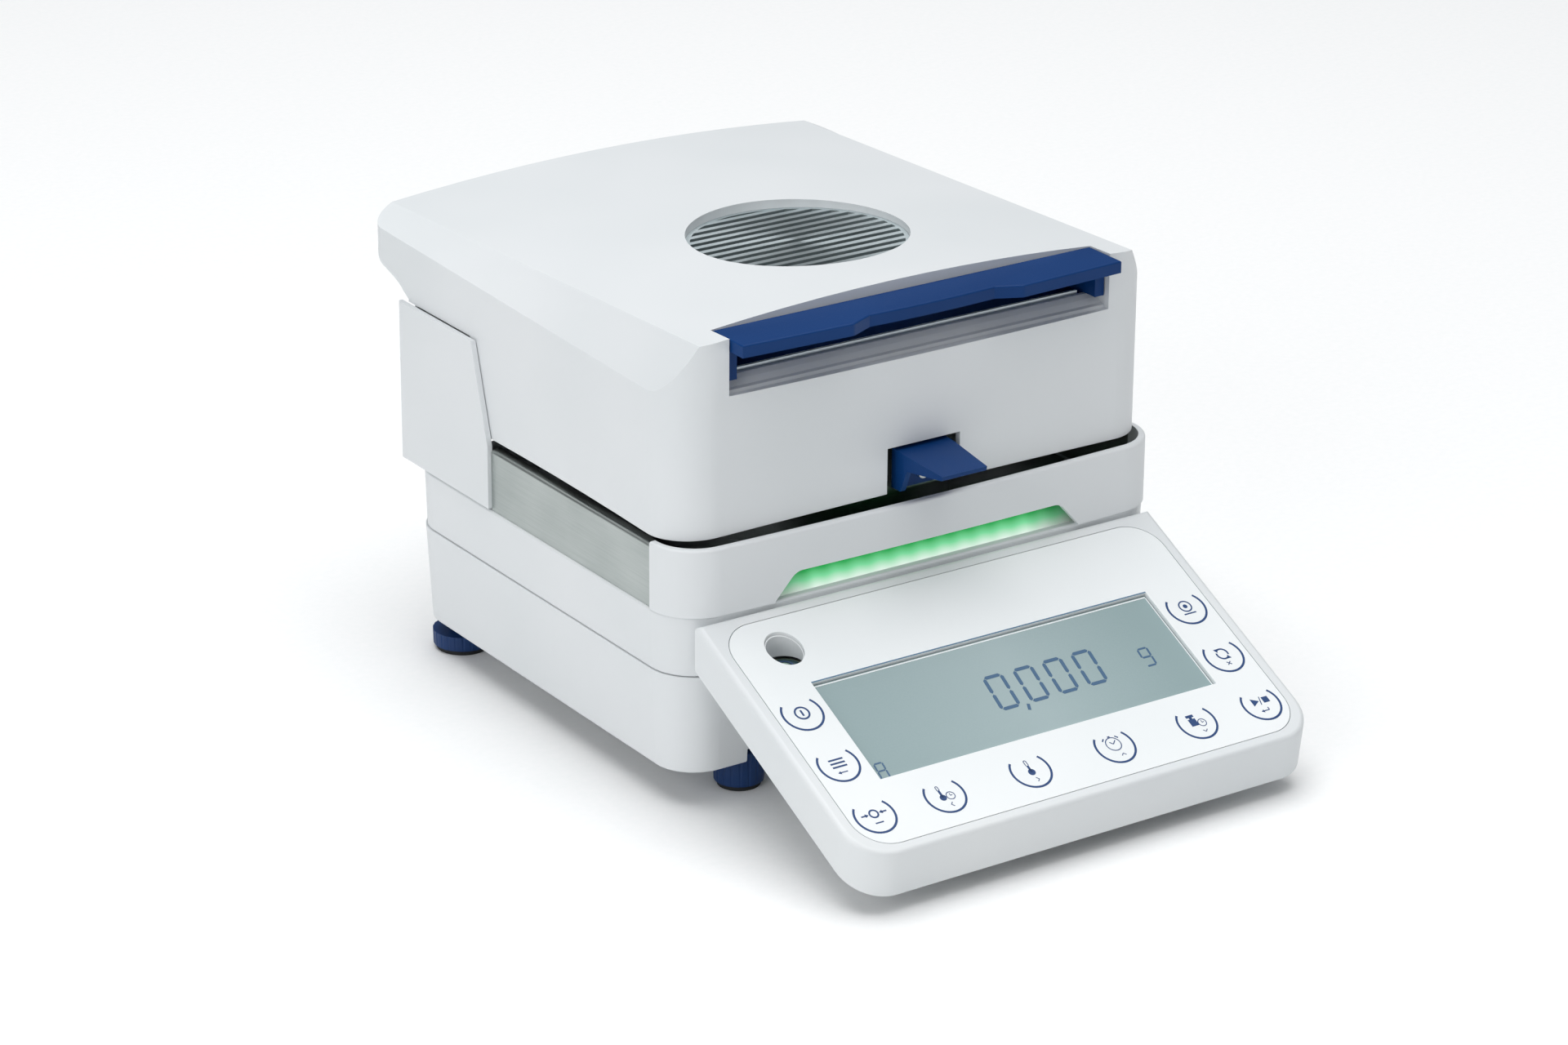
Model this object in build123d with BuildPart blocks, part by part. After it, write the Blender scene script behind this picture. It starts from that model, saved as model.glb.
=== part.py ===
from build123d import *
import os
from math import cos, radians, sin, tan

# Moisture analyzer: a halogen drying balance. The front faces -Y, +X is to the right, +Z is up.
# The origin is on the table, under the middle of the box around the whole instrument.
# All sizes are in millimetres.

# Overall stations
front_y = -56.0            # front plane of the body, at the ends of the front band
casing_z = 13.5            # lower rim of the casing above the table
groove_z = 51.0            # parting line between the lower and the upper casing
deck_z = 73.5              # top of the upper casing, where the band and the side plates stand
casing_half_width = 104.8
casing_depth = 185.5
casing_corner = 18.0
casing_wall = 2.5
lower_draft = 2.0          # how far the lower casing draws in towards its rim
upper_draft = 0.6
floor_z = 19.0             # underside of the floor, set up inside the rim
floor_thickness = 2.5
parting_gap = 0.4
seat_gap = 0.1             # gap between flat faces of pieces that come apart
running_gap = 0.05         # radial clearance of a pin in its bore

# Front band, light cut-out and side plates
band_overhang = 0.2        # stands out past the casing on each side
band_half_width = casing_half_width + band_overhang
band_height = 25.1
band_bow = 2.2
band_reach = 18.0          # how far the band wraps round the corner
band_wall = 2.5
light_half_width = 66.0
light_top_half_width = 57.0
light_height = 10.0
light_overlap = 2.0        # the diffuser reaches this far past the cut-out
light_corner = 6.0
plate_inset = 0.9          # stands back from the casing on each side
plate_half_width = casing_half_width - plate_inset
plate_height = 23.4
plate_thickness = 1.5
plate_hem = 2.5

# Rear cover
cover_overhang = 0.6
cover_half_width = casing_half_width + cover_overhang
cover_wall = 2.0
cover_foot = 0.8           # gap between the cover and the casing under it
cover_front = 125.5        # distance of its front edge behind the front plane
cover_rear = 188.4
cover_height = 62.0
cover_slant_z = 25.0       # height where the slanted edge starts
cover_slant_y = 136.0      # distance of the top of the slanted edge behind the front plane
rear_wall_height = 48.0
vent_pitch = 9.0
vent_count = 12
vent_length = 18.0
vent_width = 3.0
vent_height = 26.0         # middle of the vent slots above the deck

# Lid
lid_side_gap = 0.4         # between the lid and each cheek of the cover
lid_half_width = cover_half_width - cover_wall - lid_side_gap
lid_front = 5.6            # set back from the front plane
lid_bottom = 26.2          # height above the deck at the corners
lid_arch_front = 1.8
lid_arch_side = 1.2
lid_corner_front = 18.0
lid_corner_rear = 11.0
lid_rear = 214.4
lid_wall = 2.5
lid_bevel_width = 10.9
lid_edge_x = lid_half_width - lid_bevel_width  # half width of the crowned top
lid_edge_front_z = 97.5
lid_edge_slope = 0.0333    # fall of the top towards the rear
lid_crown = 4.7
bevel_front_z = 78.4
bevel_rear_z = 85.4
tail_top_z = 85.0          # where the overhanging tail starts to curve under
tail_foot_y = 188.0
tail_foot_z = 65.2
lid_back_y = 184.4         # rear wall of the lid inside the rear cover
notch_half_width = 15.6
notch_top = 45.0

# Hinge of the lid
hinge_y = 178.0            # behind the front plane
hinge_z = 56.0             # above the deck
hinge_pin_radius = 3.0
hinge_ear_radius = 5.6
hinge_plate_thickness = 2.0
hinge_recess = 2.6
hinge_recess_radius = 38.0
hinge_boss_radius = 6.5

# Handle recess and handle
recess_half_width = 81.0
recess_lip_z = 77.6
recess_ledge_z = 82.0
recess_ledge_y = 12.6
recess_floor_z = 79.6
recess_depth = 28.0
recess_roof_z = 94.6
crown_lip_y = 16.4         # front edge of the crowned top, behind the handle
handle_end_gap = 0.6       # between the handle and each end of its recess
handle_half_width = recess_half_width - handle_end_gap
handle_top = 98.0
handle_thickness = 4.5
handle_front = -2.6        # front edge at the ends, from the front plane
handle_bulge = 4.6         # front edge where the finger scoop starts
scoop_outer_x = 36.0
scoop_inner_x = 26.5
scoop_depth = 4.4
handle_arm_width = 4.0

# Grille
grille_y = 83.0            # centre of the grille, lamp and pan behind the front plane
grille_radius = 40.5
grille_sink = 3.4
grille_thickness = 5.0
grille_ring = 1.8
bar_pitch = 5.5
bar_width = 2.6
bar_count = 14

# Heater in the lid
liner_z = 46.0
liner_thickness = 1.2
glass_radius = 53.0
glass_thickness = 3.0
reflector_low_radius = 58.0
reflector_top_radius = 44.0
reflector_height = 30.0
reflector_wall = 1.2
lamp_ring_radius = 36.0
lamp_tube_radius = 4.5
lamp_height = 12.0

# Weighing parts
draught_radius = 56.0
draught_wall = 2.0
handler_z = 26.6
handler_thickness = 2.0
handler_radius = 57.5
handler_hole_radius = 44.0
pan_radius = 46.0
pan_dish_radius = 38.0
pan_flare = 3.0            # how far the wall of the dish leans out
pan_depth = 6.0
pan_sheet = 0.8
pan_rim_z = 33.5
support_post_radius = 3.0
support_arm_width = 6.0
support_arm_radius = 36.0
support_arm_thickness = 2.0
arm_half_width = 9.0

# Terminal: a slab that slopes down to the front
terminal_tilt = 25.7
terminal_drop = 0.6        # its top starts this far under the band
terminal_half_width = 98.0
terminal_length = 113.6    # along the slope
terminal_thickness = 16.0
terminal_wall = 2.5
terminal_corner = 15.0
terminal_front_lean = 2.3
foil_margin = 5.0          # rim of the terminal beside the foil
foil_half_width = terminal_half_width - foil_margin
foil_start = 6.0
foil_end = 109.6
foil_corner = 13.0
foil_thickness = 0.5
screen_half_width = 72.2
screen_start = 37.2
screen_end = 83.1
screen_sink = 1.4
key_radius = 6.0
key_travel = 0.3
key_column_inset = 10.1
key_column_x = foil_half_width - key_column_inset
key_rows = (48.4, 72.6, 96.6)
key_row_x = (-54.1, -18.1, 18.1, 54.1)
level_x = -73.0
level_start = 19.9
level_radius = 7.0

# Feet
front_foot_inset = 34.8
front_foot_x = casing_half_width - front_foot_inset
front_foot_y = 14.6
rear_foot_inset = 14.8
rear_foot_x = casing_half_width - rear_foot_inset
rear_foot_y = 172.0
front_knob_radius = 9.4
front_knob_height = 14.6
rear_knob_radius = 11.6
rear_knob_height = 7.6
foot_rib_depth = 0.5
stud_radius = 3.0
pad_height = 2.0
pad_inset = 1.6
foot_travel = 6.0

cut_reach = 200.0          # a cut that has to clear the whole piece reaches this far

os.makedirs("parts", exist_ok=True)


def save(piece, name):
    piece.part.label = name
    export_step(piece.part, "parts/" + name + ".step")


def body_y(distance):
    """Y of a point that lies this far behind the front plane."""
    return front_y + distance


def deck(height):
    """Z of a point that lies this high above the deck."""
    return deck_z + height


# Slab plane of the terminal: local x to the right, local y up the slope, local z out of the face
tilt = radians(terminal_tilt)
face_plane = Plane(
    origin=(0, front_y, deck(-terminal_drop)),
    x_dir=(1, 0, 0),
    z_dir=(0, -sin(tilt), cos(tilt)),
)


def face_point(x, start, depth=0.0):
    """Point on the slab, a distance down the slope and a depth under its face."""
    return face_plane.from_local_coords(Vector(x, -start, -depth))


def rounded_box(half_x, y_low, y_high, corner, z_low, z_high, draw_low=0.0, draw_high=0.0):
    """Solid with rounded upright edges whose sides draw in at its lower and upper end."""
    with BuildPart() as shape:
        for level, draw in ((z_low, draw_low), (z_high, draw_high)):
            width = 2 * (half_x - draw)
            depth = y_high - y_low - 2 * draw
            middle = (y_low + y_high) / 2
            with BuildSketch(Plane.XY.offset(level)):
                with Locations((0, middle)):
                    RectangleRounded(width, depth, corner - draw)
        loft(ruled=True)
    return shape.part


def bowed_plan(half_x, y_front, y_rear, bow, corner_front, corner_rear):
    """Plan outline with a front that bows outwards."""
    with BuildSketch() as plan:
        with BuildLine():
            Polyline((half_x, y_front), (half_x, y_rear), (-half_x, y_rear), (-half_x, y_front))
            ThreePointArc((-half_x, y_front), (0, y_front - bow), (half_x, y_front))
        make_face()
        front_corners = plan.vertices().group_by(Axis.Y)[0]
        fillet(front_corners, corner_front)
        if corner_rear > 0:
            rear_corners = plan.vertices().group_by(Axis.Y)[-1]
            fillet(rear_corners, corner_rear)
    return plan.sketch


casing_rear_y = body_y(casing_depth)
casing_top_gap = groove_z + parting_gap
feet = (
    ("front_left", -front_foot_x, body_y(front_foot_y), front_knob_radius, front_knob_height),
    ("front_right", front_foot_x, body_y(front_foot_y), front_knob_radius, front_knob_height),
    ("rear_left", -rear_foot_x, body_y(rear_foot_y), rear_knob_radius, rear_knob_height),
    ("rear_right", rear_foot_x, body_y(rear_foot_y), rear_knob_radius, rear_knob_height),
)
centre_y = body_y(grille_y)
insert_radius = stud_radius + 2.0
insert_height = 12.0
insert_low = floor_z - 2.0
leg_width = 29.8
leg_inner_x = casing_half_width - leg_width  # the front wall is cut away between the corner legs
inlet_x = 58.0
inlet_z = 34.0
inlet_width = 27.6
inlet_height = 20.0
port_x = -55.0
port_width = 31.0
port_height = 12.6
cell_half_width = 12.0
cell_z = 34.0
cell_height = 22.0
cell_length = 84.0
cell_front_y = centre_y - 14.0
pedestal_length = 24.0

# Lower casing: a drafted tub with its floor set up inside the rim
with BuildPart() as lower_casing:
    add(rounded_box(casing_half_width, front_y, casing_rear_y, casing_corner,
                    casing_z, groove_z, draw_low=lower_draft))
    add(rounded_box(casing_half_width - casing_wall, front_y + casing_wall,
                    casing_rear_y - casing_wall, casing_corner - casing_wall,
                    floor_z + floor_thickness, groove_z, draw_low=lower_draft), mode=Mode.SUBTRACT)
    add(rounded_box(casing_half_width - casing_wall - lower_draft, front_y + casing_wall + lower_draft,
                    casing_rear_y - casing_wall - lower_draft, casing_corner - casing_wall - lower_draft,
                    casing_z, floor_z), mode=Mode.SUBTRACT)
    fillet(lower_casing.faces().sort_by(Axis.Z)[0].outer_wire().edges(), 1.6)
    with BuildSketch(Plane.XZ.offset(-front_y - 10)):
        with Locations((0, casing_z)):
            Rectangle(2 * leg_inner_x, 2 * (floor_z - casing_z))
    extrude(amount=20, mode=Mode.SUBTRACT)
    with BuildSketch(Plane.XY.offset(insert_low)):
        for name, x, y, radius, height in feet:
            with Locations((x, y)):
                Circle(insert_radius + 2.5)
    extrude(amount=insert_height - 1.0)
    with BuildSketch(Plane.XY.offset(floor_z)):
        with Locations((0, cell_front_y + cell_length - pedestal_length / 2)):
            Rectangle(2 * cell_half_width, pedestal_length)
    extrude(amount=cell_z - floor_z)
    with BuildSketch(Plane.XY.offset(insert_low - 1)):
        for name, x, y, radius, height in feet:
            with Locations((x, y)):
                Circle(insert_radius)
    extrude(amount=insert_height + 2, mode=Mode.SUBTRACT)
    with BuildSketch(Plane.XZ.offset(-casing_rear_y - 10)):
        with Locations((inlet_x, inlet_z)):
            Rectangle(inlet_width, inlet_height)
        with Locations((port_x, inlet_z)):
            Rectangle(port_width, port_height)
    extrude(amount=20, mode=Mode.SUBTRACT)
save(lower_casing, "lower_casing")

# Upper casing: an open-bottomed tray whose top is the deck under the chamber
post_hole_radius = support_post_radius + 3.0
with BuildPart() as upper_casing:
    add(rounded_box(casing_half_width, front_y, casing_rear_y, casing_corner,
                    casing_top_gap, deck_z, draw_low=upper_draft))
    add(rounded_box(casing_half_width - casing_wall, front_y + casing_wall,
                    casing_rear_y - casing_wall, casing_corner - casing_wall,
                    casing_top_gap, deck_z - casing_wall, draw_low=upper_draft), mode=Mode.SUBTRACT)
    fillet(upper_casing.faces().sort_by(Axis.Z)[-1].outer_wire().edges(), 0.8)
    with BuildSketch(Plane.XY.offset(deck_z - casing_wall - 1)):
        with Locations((0, centre_y)):
            Circle(post_hole_radius)
    extrude(amount=casing_wall + 2, mode=Mode.SUBTRACT)
save(upper_casing, "upper_casing")

# Front band: bowed at the front, wrapped round both corners, cut out for the status light
band_top = deck(band_height)
with BuildPart() as front_band:
    with BuildSketch(Plane.XY.offset(deck_z)):
        add(bowed_plan(band_half_width, front_y, body_y(band_reach) + casing_corner, band_bow,
                       casing_corner, 0))
        add(bowed_plan(band_half_width - band_wall, front_y + band_wall,
                       body_y(band_reach) + casing_corner + 1, band_bow,
                       casing_corner - band_wall, 0), mode=Mode.SUBTRACT)
        with Locations((0, body_y(band_reach) + cut_reach / 2)):
            Rectangle(3 * band_half_width, cut_reach, mode=Mode.SUBTRACT)
    extrude(amount=band_height)
    with BuildSketch(Plane.XZ.offset(-front_y - casing_corner)):
        with BuildLine():
            Polyline((-light_half_width, deck_z - 1), (-light_half_width, deck_z),
                     (-light_top_half_width, deck(light_height)),
                     (light_top_half_width, deck(light_height)),
                     (light_half_width, deck_z), (light_half_width, deck_z - 1), close=True)
        light_face = make_face()
        fillet(light_face.vertices().group_by(Axis.Y)[-1], light_corner)
    extrude(amount=2 * casing_corner, mode=Mode.SUBTRACT)
    fillet(front_band.faces().sort_by(Axis.Z)[-1].edges().sort_by(Axis.Y)[0], 0.9)
save(front_band, "front_band")

# Light bar: a sloping diffuser that fills the cut-out from behind
light_slope = 6.0          # how far its face leans back
light_back = 4.0
light_front_y = body_y(band_wall + 0.3)
light_rear_y = light_front_y + light_slope + light_back
light_top_z = deck(light_height + light_overlap)
with BuildPart() as light_bar:
    with BuildSketch(Plane.YZ.offset(-light_half_width - light_overlap)):
        with BuildLine():
            Polyline((light_front_y, deck_z), (light_front_y + light_slope, light_top_z),
                     (light_rear_y, light_top_z), (light_rear_y, deck_z), close=True)
        make_face()
    extrude(amount=2 * (light_half_width + light_overlap))
save(light_bar, "light_bar")


def side_plate(side):
    """Steel plate with a hem folded inwards along its top."""
    outer = side * plate_half_width
    inner = side * (plate_half_width - plate_thickness)
    hem = side * (plate_half_width - plate_thickness - plate_hem)
    start = body_y(band_reach) + 0.1
    with BuildPart() as plate:
        with BuildSketch(Plane.XZ.offset(-start)):
            with BuildLine():
                Polyline((outer, deck_z), (outer, deck(plate_height)), (hem, deck(plate_height)),
                         (hem, deck(plate_height - plate_thickness)),
                         (inner, deck(plate_height - plate_thickness)), (inner, deck_z), close=True)
            make_face()
        extrude(amount=-(cover_front - band_reach - 0.2))
        top_edge = plate.edges().filter_by(Axis.Y).group_by(Axis.Z)[-1].sort_by(Axis.X)
        fillet(top_edge[-1] if side > 0 else top_edge[0], 1.2)
    return plate


for side, side_name in ((-1, "left"), (1, "right")):
    save(side_plate(side), "side_plate_" + side_name)

# Rear cover: side cheeks that flank the lid, joined by a lower rear wall
cover_low = deck(cover_foot)
cover_points = (
    (body_y(cover_front), cover_low),
    (body_y(cover_front), deck(cover_slant_z)),
    (body_y(cover_slant_y), deck(cover_height)),
    (body_y(cover_rear), deck(cover_height)),
    (body_y(cover_rear), cover_low),
)
with BuildPart() as rear_cover:
    with BuildSketch(Plane.YZ.offset(-cover_half_width)) as cheek:
        with BuildLine():
            Polyline(*cover_points, close=True)
        make_face()
        fillet(cheek.vertices().sort_by(Axis.Y)[0:3].sort_by(Axis.Y)[-1], 3.0)
    extrude(amount=2 * cover_half_width)
    with BuildSketch(Plane.XY.offset(deck_z)):
        with Locations((0, body_y(cover_rear - cover_wall) - cut_reach / 2)):
            Rectangle(2 * (cover_half_width - cover_wall), cut_reach)
    extrude(amount=cover_height + 10, mode=Mode.SUBTRACT)
    with BuildSketch(Plane.XY.offset(deck(rear_wall_height))):
        with Locations((0, body_y(cover_rear))):
            Rectangle(2 * (cover_half_width - cover_wall), 20)
    extrude(amount=cover_height, mode=Mode.SUBTRACT)
    with BuildSketch(Plane.XZ.offset(-body_y(cover_rear) - 10)):
        with Locations((0, deck(vent_height))):
            with GridLocations(vent_pitch, vent_pitch, vent_count, 1):
                SlotCenterToCenter(vent_length, vent_width, rotation=90)
    extrude(amount=20, mode=Mode.SUBTRACT)
    rear_uprights = rear_cover.edges().filter_by(Axis.Z).group_by(Axis.Y)[-1].sort_by(Axis.X)
    fillet([rear_uprights[0], rear_uprights[-1]], 1.2)
save(rear_cover, "rear_cover")


lid_clear_z = deck(lid_edge_front_z + lid_crown + 30)  # well above the lid


def lid_form(inset):
    """Outer form of the lid, or the form of its cavity when inset by the wall."""
    half = lid_half_width - inset
    edge_x = lid_edge_x - inset
    near = lid_front - 10
    far = lid_rear + 10
    with BuildPart() as form:
        for distance, bevel_z in ((near, bevel_front_z - 0.034 * 10), (far, bevel_rear_z + 0.034 * 10)):
            edge_z = lid_edge_front_z - lid_edge_slope * distance - inset
            with BuildSketch(Plane.XZ.offset(-body_y(distance))):
                with BuildLine():
                    Polyline((-edge_x, deck(edge_z)), (-half, deck(bevel_z - inset)),
                             (-half, deck(lid_bottom - 2)), (half, deck(lid_bottom - 2)),
                             (half, deck(bevel_z - inset)), (edge_x, deck(edge_z)))
                    ThreePointArc((edge_x, deck(edge_z)), (0, deck(edge_z + lid_crown)),
                                  (-edge_x, deck(edge_z)))
                make_face()
        loft(ruled=True)
        with BuildSketch(Plane.XY.offset(deck(lid_bottom - 10))):
            add(bowed_plan(half, body_y(lid_front + inset), body_y(lid_rear - inset), band_bow,
                           lid_corner_front - inset, lid_corner_rear - inset))
        extrude(amount=cut_reach, mode=Mode.INTERSECT)
        low = deck(lid_bottom if inset == 0 else lid_bottom - 5)
        with BuildSketch(Plane.YZ.offset(-half - 1)):
            with BuildLine():
                tail_top = (body_y(lid_rear + 0.5 - inset), deck(tail_top_z))
                tail_foot = (body_y(tail_foot_y - inset), deck(tail_foot_z + inset))
                Polyline(tail_foot, (body_y(lid_back_y - inset), deck(tail_foot_z - 2 + inset)),
                         (body_y(lid_back_y - inset), low), (body_y(lid_front - 20), low),
                         (body_y(lid_front - 20), lid_clear_z), (body_y(lid_rear + 0.5 - inset), lid_clear_z),
                         tail_top)
                Spline(tail_top,
                       (body_y(lid_rear - 2.2 - inset), deck(tail_top_z - 7.0 + inset / 2)),
                       (body_y(lid_rear - 7.4 - inset), deck(tail_top_z - 12.0 + inset)),
                       (body_y(lid_rear - 15.4 - inset), deck(tail_top_z - 15.0 + inset)),
                       tail_foot)
            make_face()
        extrude(amount=2 * half + 2, mode=Mode.INTERSECT)
    return form.part


# Plane of the lid's top at the grille
grille_top_z = lid_edge_front_z - lid_edge_slope * grille_y + lid_crown - grille_sink
grille_plane = Plane(
    origin=(0, centre_y, deck(grille_top_z)),
    x_dir=(1, 0, 0),
    z_dir=(0, sin(lid_edge_slope), cos(lid_edge_slope)),
)
recess_points = (
    (body_y(-30), deck(recess_lip_z)),
    (body_y(lid_front + 1.2), deck(recess_lip_z)),
    (body_y(lid_front + 1.8), deck(recess_lip_z + 1.0)),
    (body_y(lid_front + 3.4), deck(recess_lip_z + 1.3)),
    (body_y(recess_ledge_y - 1.8), deck(recess_ledge_z - 1.4)),
    (body_y(recess_ledge_y), deck(recess_ledge_z)),
    (body_y(recess_ledge_y + 1.6), deck(recess_ledge_z)),
    (body_y(recess_ledge_y + 1.6), deck(recess_floor_z)),
    (body_y(recess_depth), deck(recess_floor_z)),
    (body_y(recess_depth), deck(recess_roof_z)),
    (body_y(crown_lip_y), deck(recess_roof_z)),
    (body_y(crown_lip_y), lid_clear_z),
    (body_y(-30), lid_clear_z),
)
hinge_axis_y = body_y(hinge_y)
hinge_axis_z = deck(hinge_z)

with BuildPart() as lid_cavity:
    add(lid_form(lid_wall))
    with BuildSketch(Plane.YZ.offset(-recess_half_width - lid_wall)):
        with BuildLine():
            Polyline((body_y(-30), deck(recess_lip_z - 2 * lid_wall)),
                     (body_y(recess_depth + lid_wall), deck(recess_floor_z - lid_wall)),
                     (body_y(recess_depth + lid_wall), lid_clear_z), (body_y(-30), lid_clear_z), close=True)
        make_face()
    extrude(amount=2 * (recess_half_width + lid_wall), mode=Mode.SUBTRACT)
    with BuildSketch(grille_plane.offset(-grille_thickness - 1.6)):
        Circle(grille_radius + 2.0)
    extrude(amount=30, mode=Mode.SUBTRACT)
    for side in (-1, 1):
        with BuildSketch(Plane.YZ.offset(side * (lid_half_width + 5))):
            with Locations((hinge_axis_y, hinge_axis_z)):
                Circle(hinge_recess_radius + lid_wall)
            with Locations((hinge_axis_y, hinge_axis_z + hinge_boss_radius - lid_wall + cut_reach)):
                Rectangle(2 * cut_reach, 2 * cut_reach, mode=Mode.SUBTRACT)
            with Locations((hinge_axis_y, hinge_axis_z)):
                Circle(hinge_boss_radius)
        extrude(amount=-side * (5 + hinge_recess + lid_wall), mode=Mode.SUBTRACT)
        with BuildSketch(Plane.YZ.offset(side * (lid_half_width + 5))):
            with Locations((hinge_axis_y, hinge_axis_z)):
                Circle(hinge_boss_radius)
        extrude(amount=-side * (5 + hinge_recess + lid_wall + 5), mode=Mode.SUBTRACT)

with BuildPart() as lid_shell:
    add(lid_form(0.0))
    add(lid_cavity.part, mode=Mode.SUBTRACT)
    with BuildSketch(Plane.YZ.offset(-recess_half_width)):
        with BuildLine():
            Polyline(*recess_points, close=True)
        make_face()
    extrude(amount=2 * recess_half_width, mode=Mode.SUBTRACT)
    with BuildSketch(grille_plane):
        Circle(grille_radius)
    extrude(amount=20, mode=Mode.SUBTRACT)
    with BuildSketch(grille_plane.offset(-grille_thickness)):
        Circle(grille_radius)
    extrude(amount=grille_thickness, mode=Mode.SUBTRACT)
    with BuildSketch(grille_plane.offset(-grille_thickness - 10)):
        Circle(grille_radius - grille_ring - 0.8)
    extrude(amount=20, mode=Mode.SUBTRACT)
    with BuildSketch(Plane.XZ.offset(-front_y + 40)):
        with Locations((0, deck(notch_top / 2))):
            Rectangle(2 * notch_half_width, notch_top)
    extrude(amount=-(40 + lid_front + lid_wall + 2), mode=Mode.SUBTRACT)
    with BuildSketch(Plane.XZ.offset(-front_y + 40)):
        with BuildLine():
            ThreePointArc((-lid_half_width, deck(lid_bottom)), (0, deck(lid_bottom + lid_arch_front)),
                          (lid_half_width, deck(lid_bottom)))
            Polyline((lid_half_width, deck(lid_bottom)), (lid_half_width, deck(lid_bottom - 5)),
                     (-lid_half_width, deck(lid_bottom - 5)), (-lid_half_width, deck(lid_bottom)))
        make_face()
    extrude(amount=-(40 + lid_front + 18), mode=Mode.SUBTRACT)
    with BuildSketch(Plane.YZ.offset(-lid_half_width - 5)):
        with BuildLine():
            ThreePointArc((body_y(20), deck(lid_bottom)), (body_y(90), deck(lid_bottom + lid_arch_side)),
                          (body_y(160), deck(lid_bottom)))
            Polyline((body_y(160), deck(lid_bottom)), (body_y(160), deck(lid_bottom - 5)),
                     (body_y(20), deck(lid_bottom - 5)), (body_y(20), deck(lid_bottom)))
        make_face()
    extrude(amount=2 * lid_half_width + 10, mode=Mode.SUBTRACT)
    for side in (-1, 1):
        with BuildSketch(Plane.YZ.offset(side * (lid_half_width + 5))):
            with Locations((hinge_axis_y, hinge_axis_z)):
                Circle(hinge_recess_radius)
            with Locations((hinge_axis_y, hinge_axis_z + hinge_boss_radius - 0.2 + cut_reach)):
                Rectangle(2 * cut_reach, 2 * cut_reach, mode=Mode.SUBTRACT)
        extrude(amount=-side * (5 + hinge_recess), mode=Mode.SUBTRACT)
        with BuildSketch(Plane.YZ.offset(side * (lid_half_width + 5))):
            with Locations((hinge_axis_y, hinge_axis_z)):
                Circle(hinge_pin_radius + running_gap)
        extrude(amount=-side * (5 + hinge_recess + lid_wall + 6), mode=Mode.SUBTRACT)
save(lid_shell, "lid_shell")


def disc(radius, low, height, hole=0.0, x=0.0, y=centre_y):
    """Upright disc or ring, over the middle of the chamber unless placed elsewhere."""
    with BuildPart() as shape:
        with BuildSketch(Plane.XY.offset(low)):
            with Locations((x, y)):
                Circle(radius)
                if hole > 0:
                    Circle(hole, mode=Mode.SUBTRACT)
        extrude(amount=height)
    return shape


# Grille: a ring with straight bars, set into the seat in the lid's top
with BuildPart() as vent_grille:
    with BuildSketch(grille_plane.offset(-grille_thickness)):
        Circle(grille_radius - 0.1)
        Circle(grille_radius - grille_ring, mode=Mode.SUBTRACT)
    extrude(amount=grille_thickness)
    with BuildSketch(grille_plane.offset(-grille_thickness)) as bars:
        with GridLocations(bar_pitch, bar_pitch, 1, bar_count):
            Rectangle(2 * grille_radius, bar_width)
        Circle(grille_radius - grille_ring + 0.2, mode=Mode.INTERSECT)
    extrude(amount=grille_thickness)
save(vent_grille, "vent_grille")

# Handle: a flat bar with a finger scoop and an arm at each end that goes down into the recess
handle_low = deck(handle_top - handle_thickness)
arm_foot_z = deck(recess_floor_z + 0.02)
with BuildPart() as handle_bar:
    with BuildSketch(Plane.XY.offset(handle_low)) as handle_outline:
        with BuildLine():
            left_scoop = (-scoop_outer_x, body_y(-handle_bulge))
            right_scoop = (scoop_outer_x, body_y(-handle_bulge))
            inner_y = body_y(-handle_bulge + scoop_depth)
            Polyline((-handle_half_width, body_y(crown_lip_y - 0.4)),
                     (-handle_half_width, body_y(handle_front)), left_scoop,
                     (-scoop_inner_x, inner_y))
            ThreePointArc((-scoop_inner_x, inner_y), (0, inner_y - 0.8), (scoop_inner_x, inner_y))
            Polyline((scoop_inner_x, inner_y), right_scoop, (handle_half_width, body_y(handle_front)),
                     (handle_half_width, body_y(crown_lip_y - 0.4)),
                     (-handle_half_width, body_y(crown_lip_y - 0.4)))
        make_face()
        fillet(handle_outline.vertices().group_by(Axis.Y)[0], 3.0)
    extrude(amount=handle_thickness)
    fillet(handle_bar.faces().sort_by(Axis.Z)[-1].outer_wire().edges(), 0.6)
    for side in (-1, 1):
        with BuildSketch(Plane.YZ.offset(side * handle_half_width)):
            with BuildLine():
                Polyline((body_y(7.0), handle_low + 1), (body_y(7.0), deck(recess_ledge_z + 0.3)),
                         (body_y(recess_ledge_y + 2.0), deck(recess_ledge_z + 0.3)),
                         (body_y(recess_ledge_y + 2.0), arm_foot_z),
                         (body_y(recess_depth - 1), arm_foot_z),
                         (body_y(recess_depth - 1), deck(recess_roof_z - 3)),
                         (body_y(crown_lip_y - 0.4), deck(recess_roof_z - 3)),
                         (body_y(crown_lip_y - 0.4), handle_low + 1), close=True)
            make_face()
        extrude(amount=-side * handle_arm_width)
save(handle_bar, "handle_bar")

# Strip: a bright metal inlay along the top of the recess ledge
with BuildPart() as recess_strip:
    with BuildSketch(Plane.XY.offset(deck(recess_floor_z))):
        with Locations((0, body_y(recess_ledge_y + 1.6 + 0.7))):
            Rectangle(2 * (recess_half_width - handle_arm_width - 3), 1.2)
    extrude(amount=recess_ledge_z - recess_floor_z + 1.3)
save(recess_strip, "recess_strip")

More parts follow.
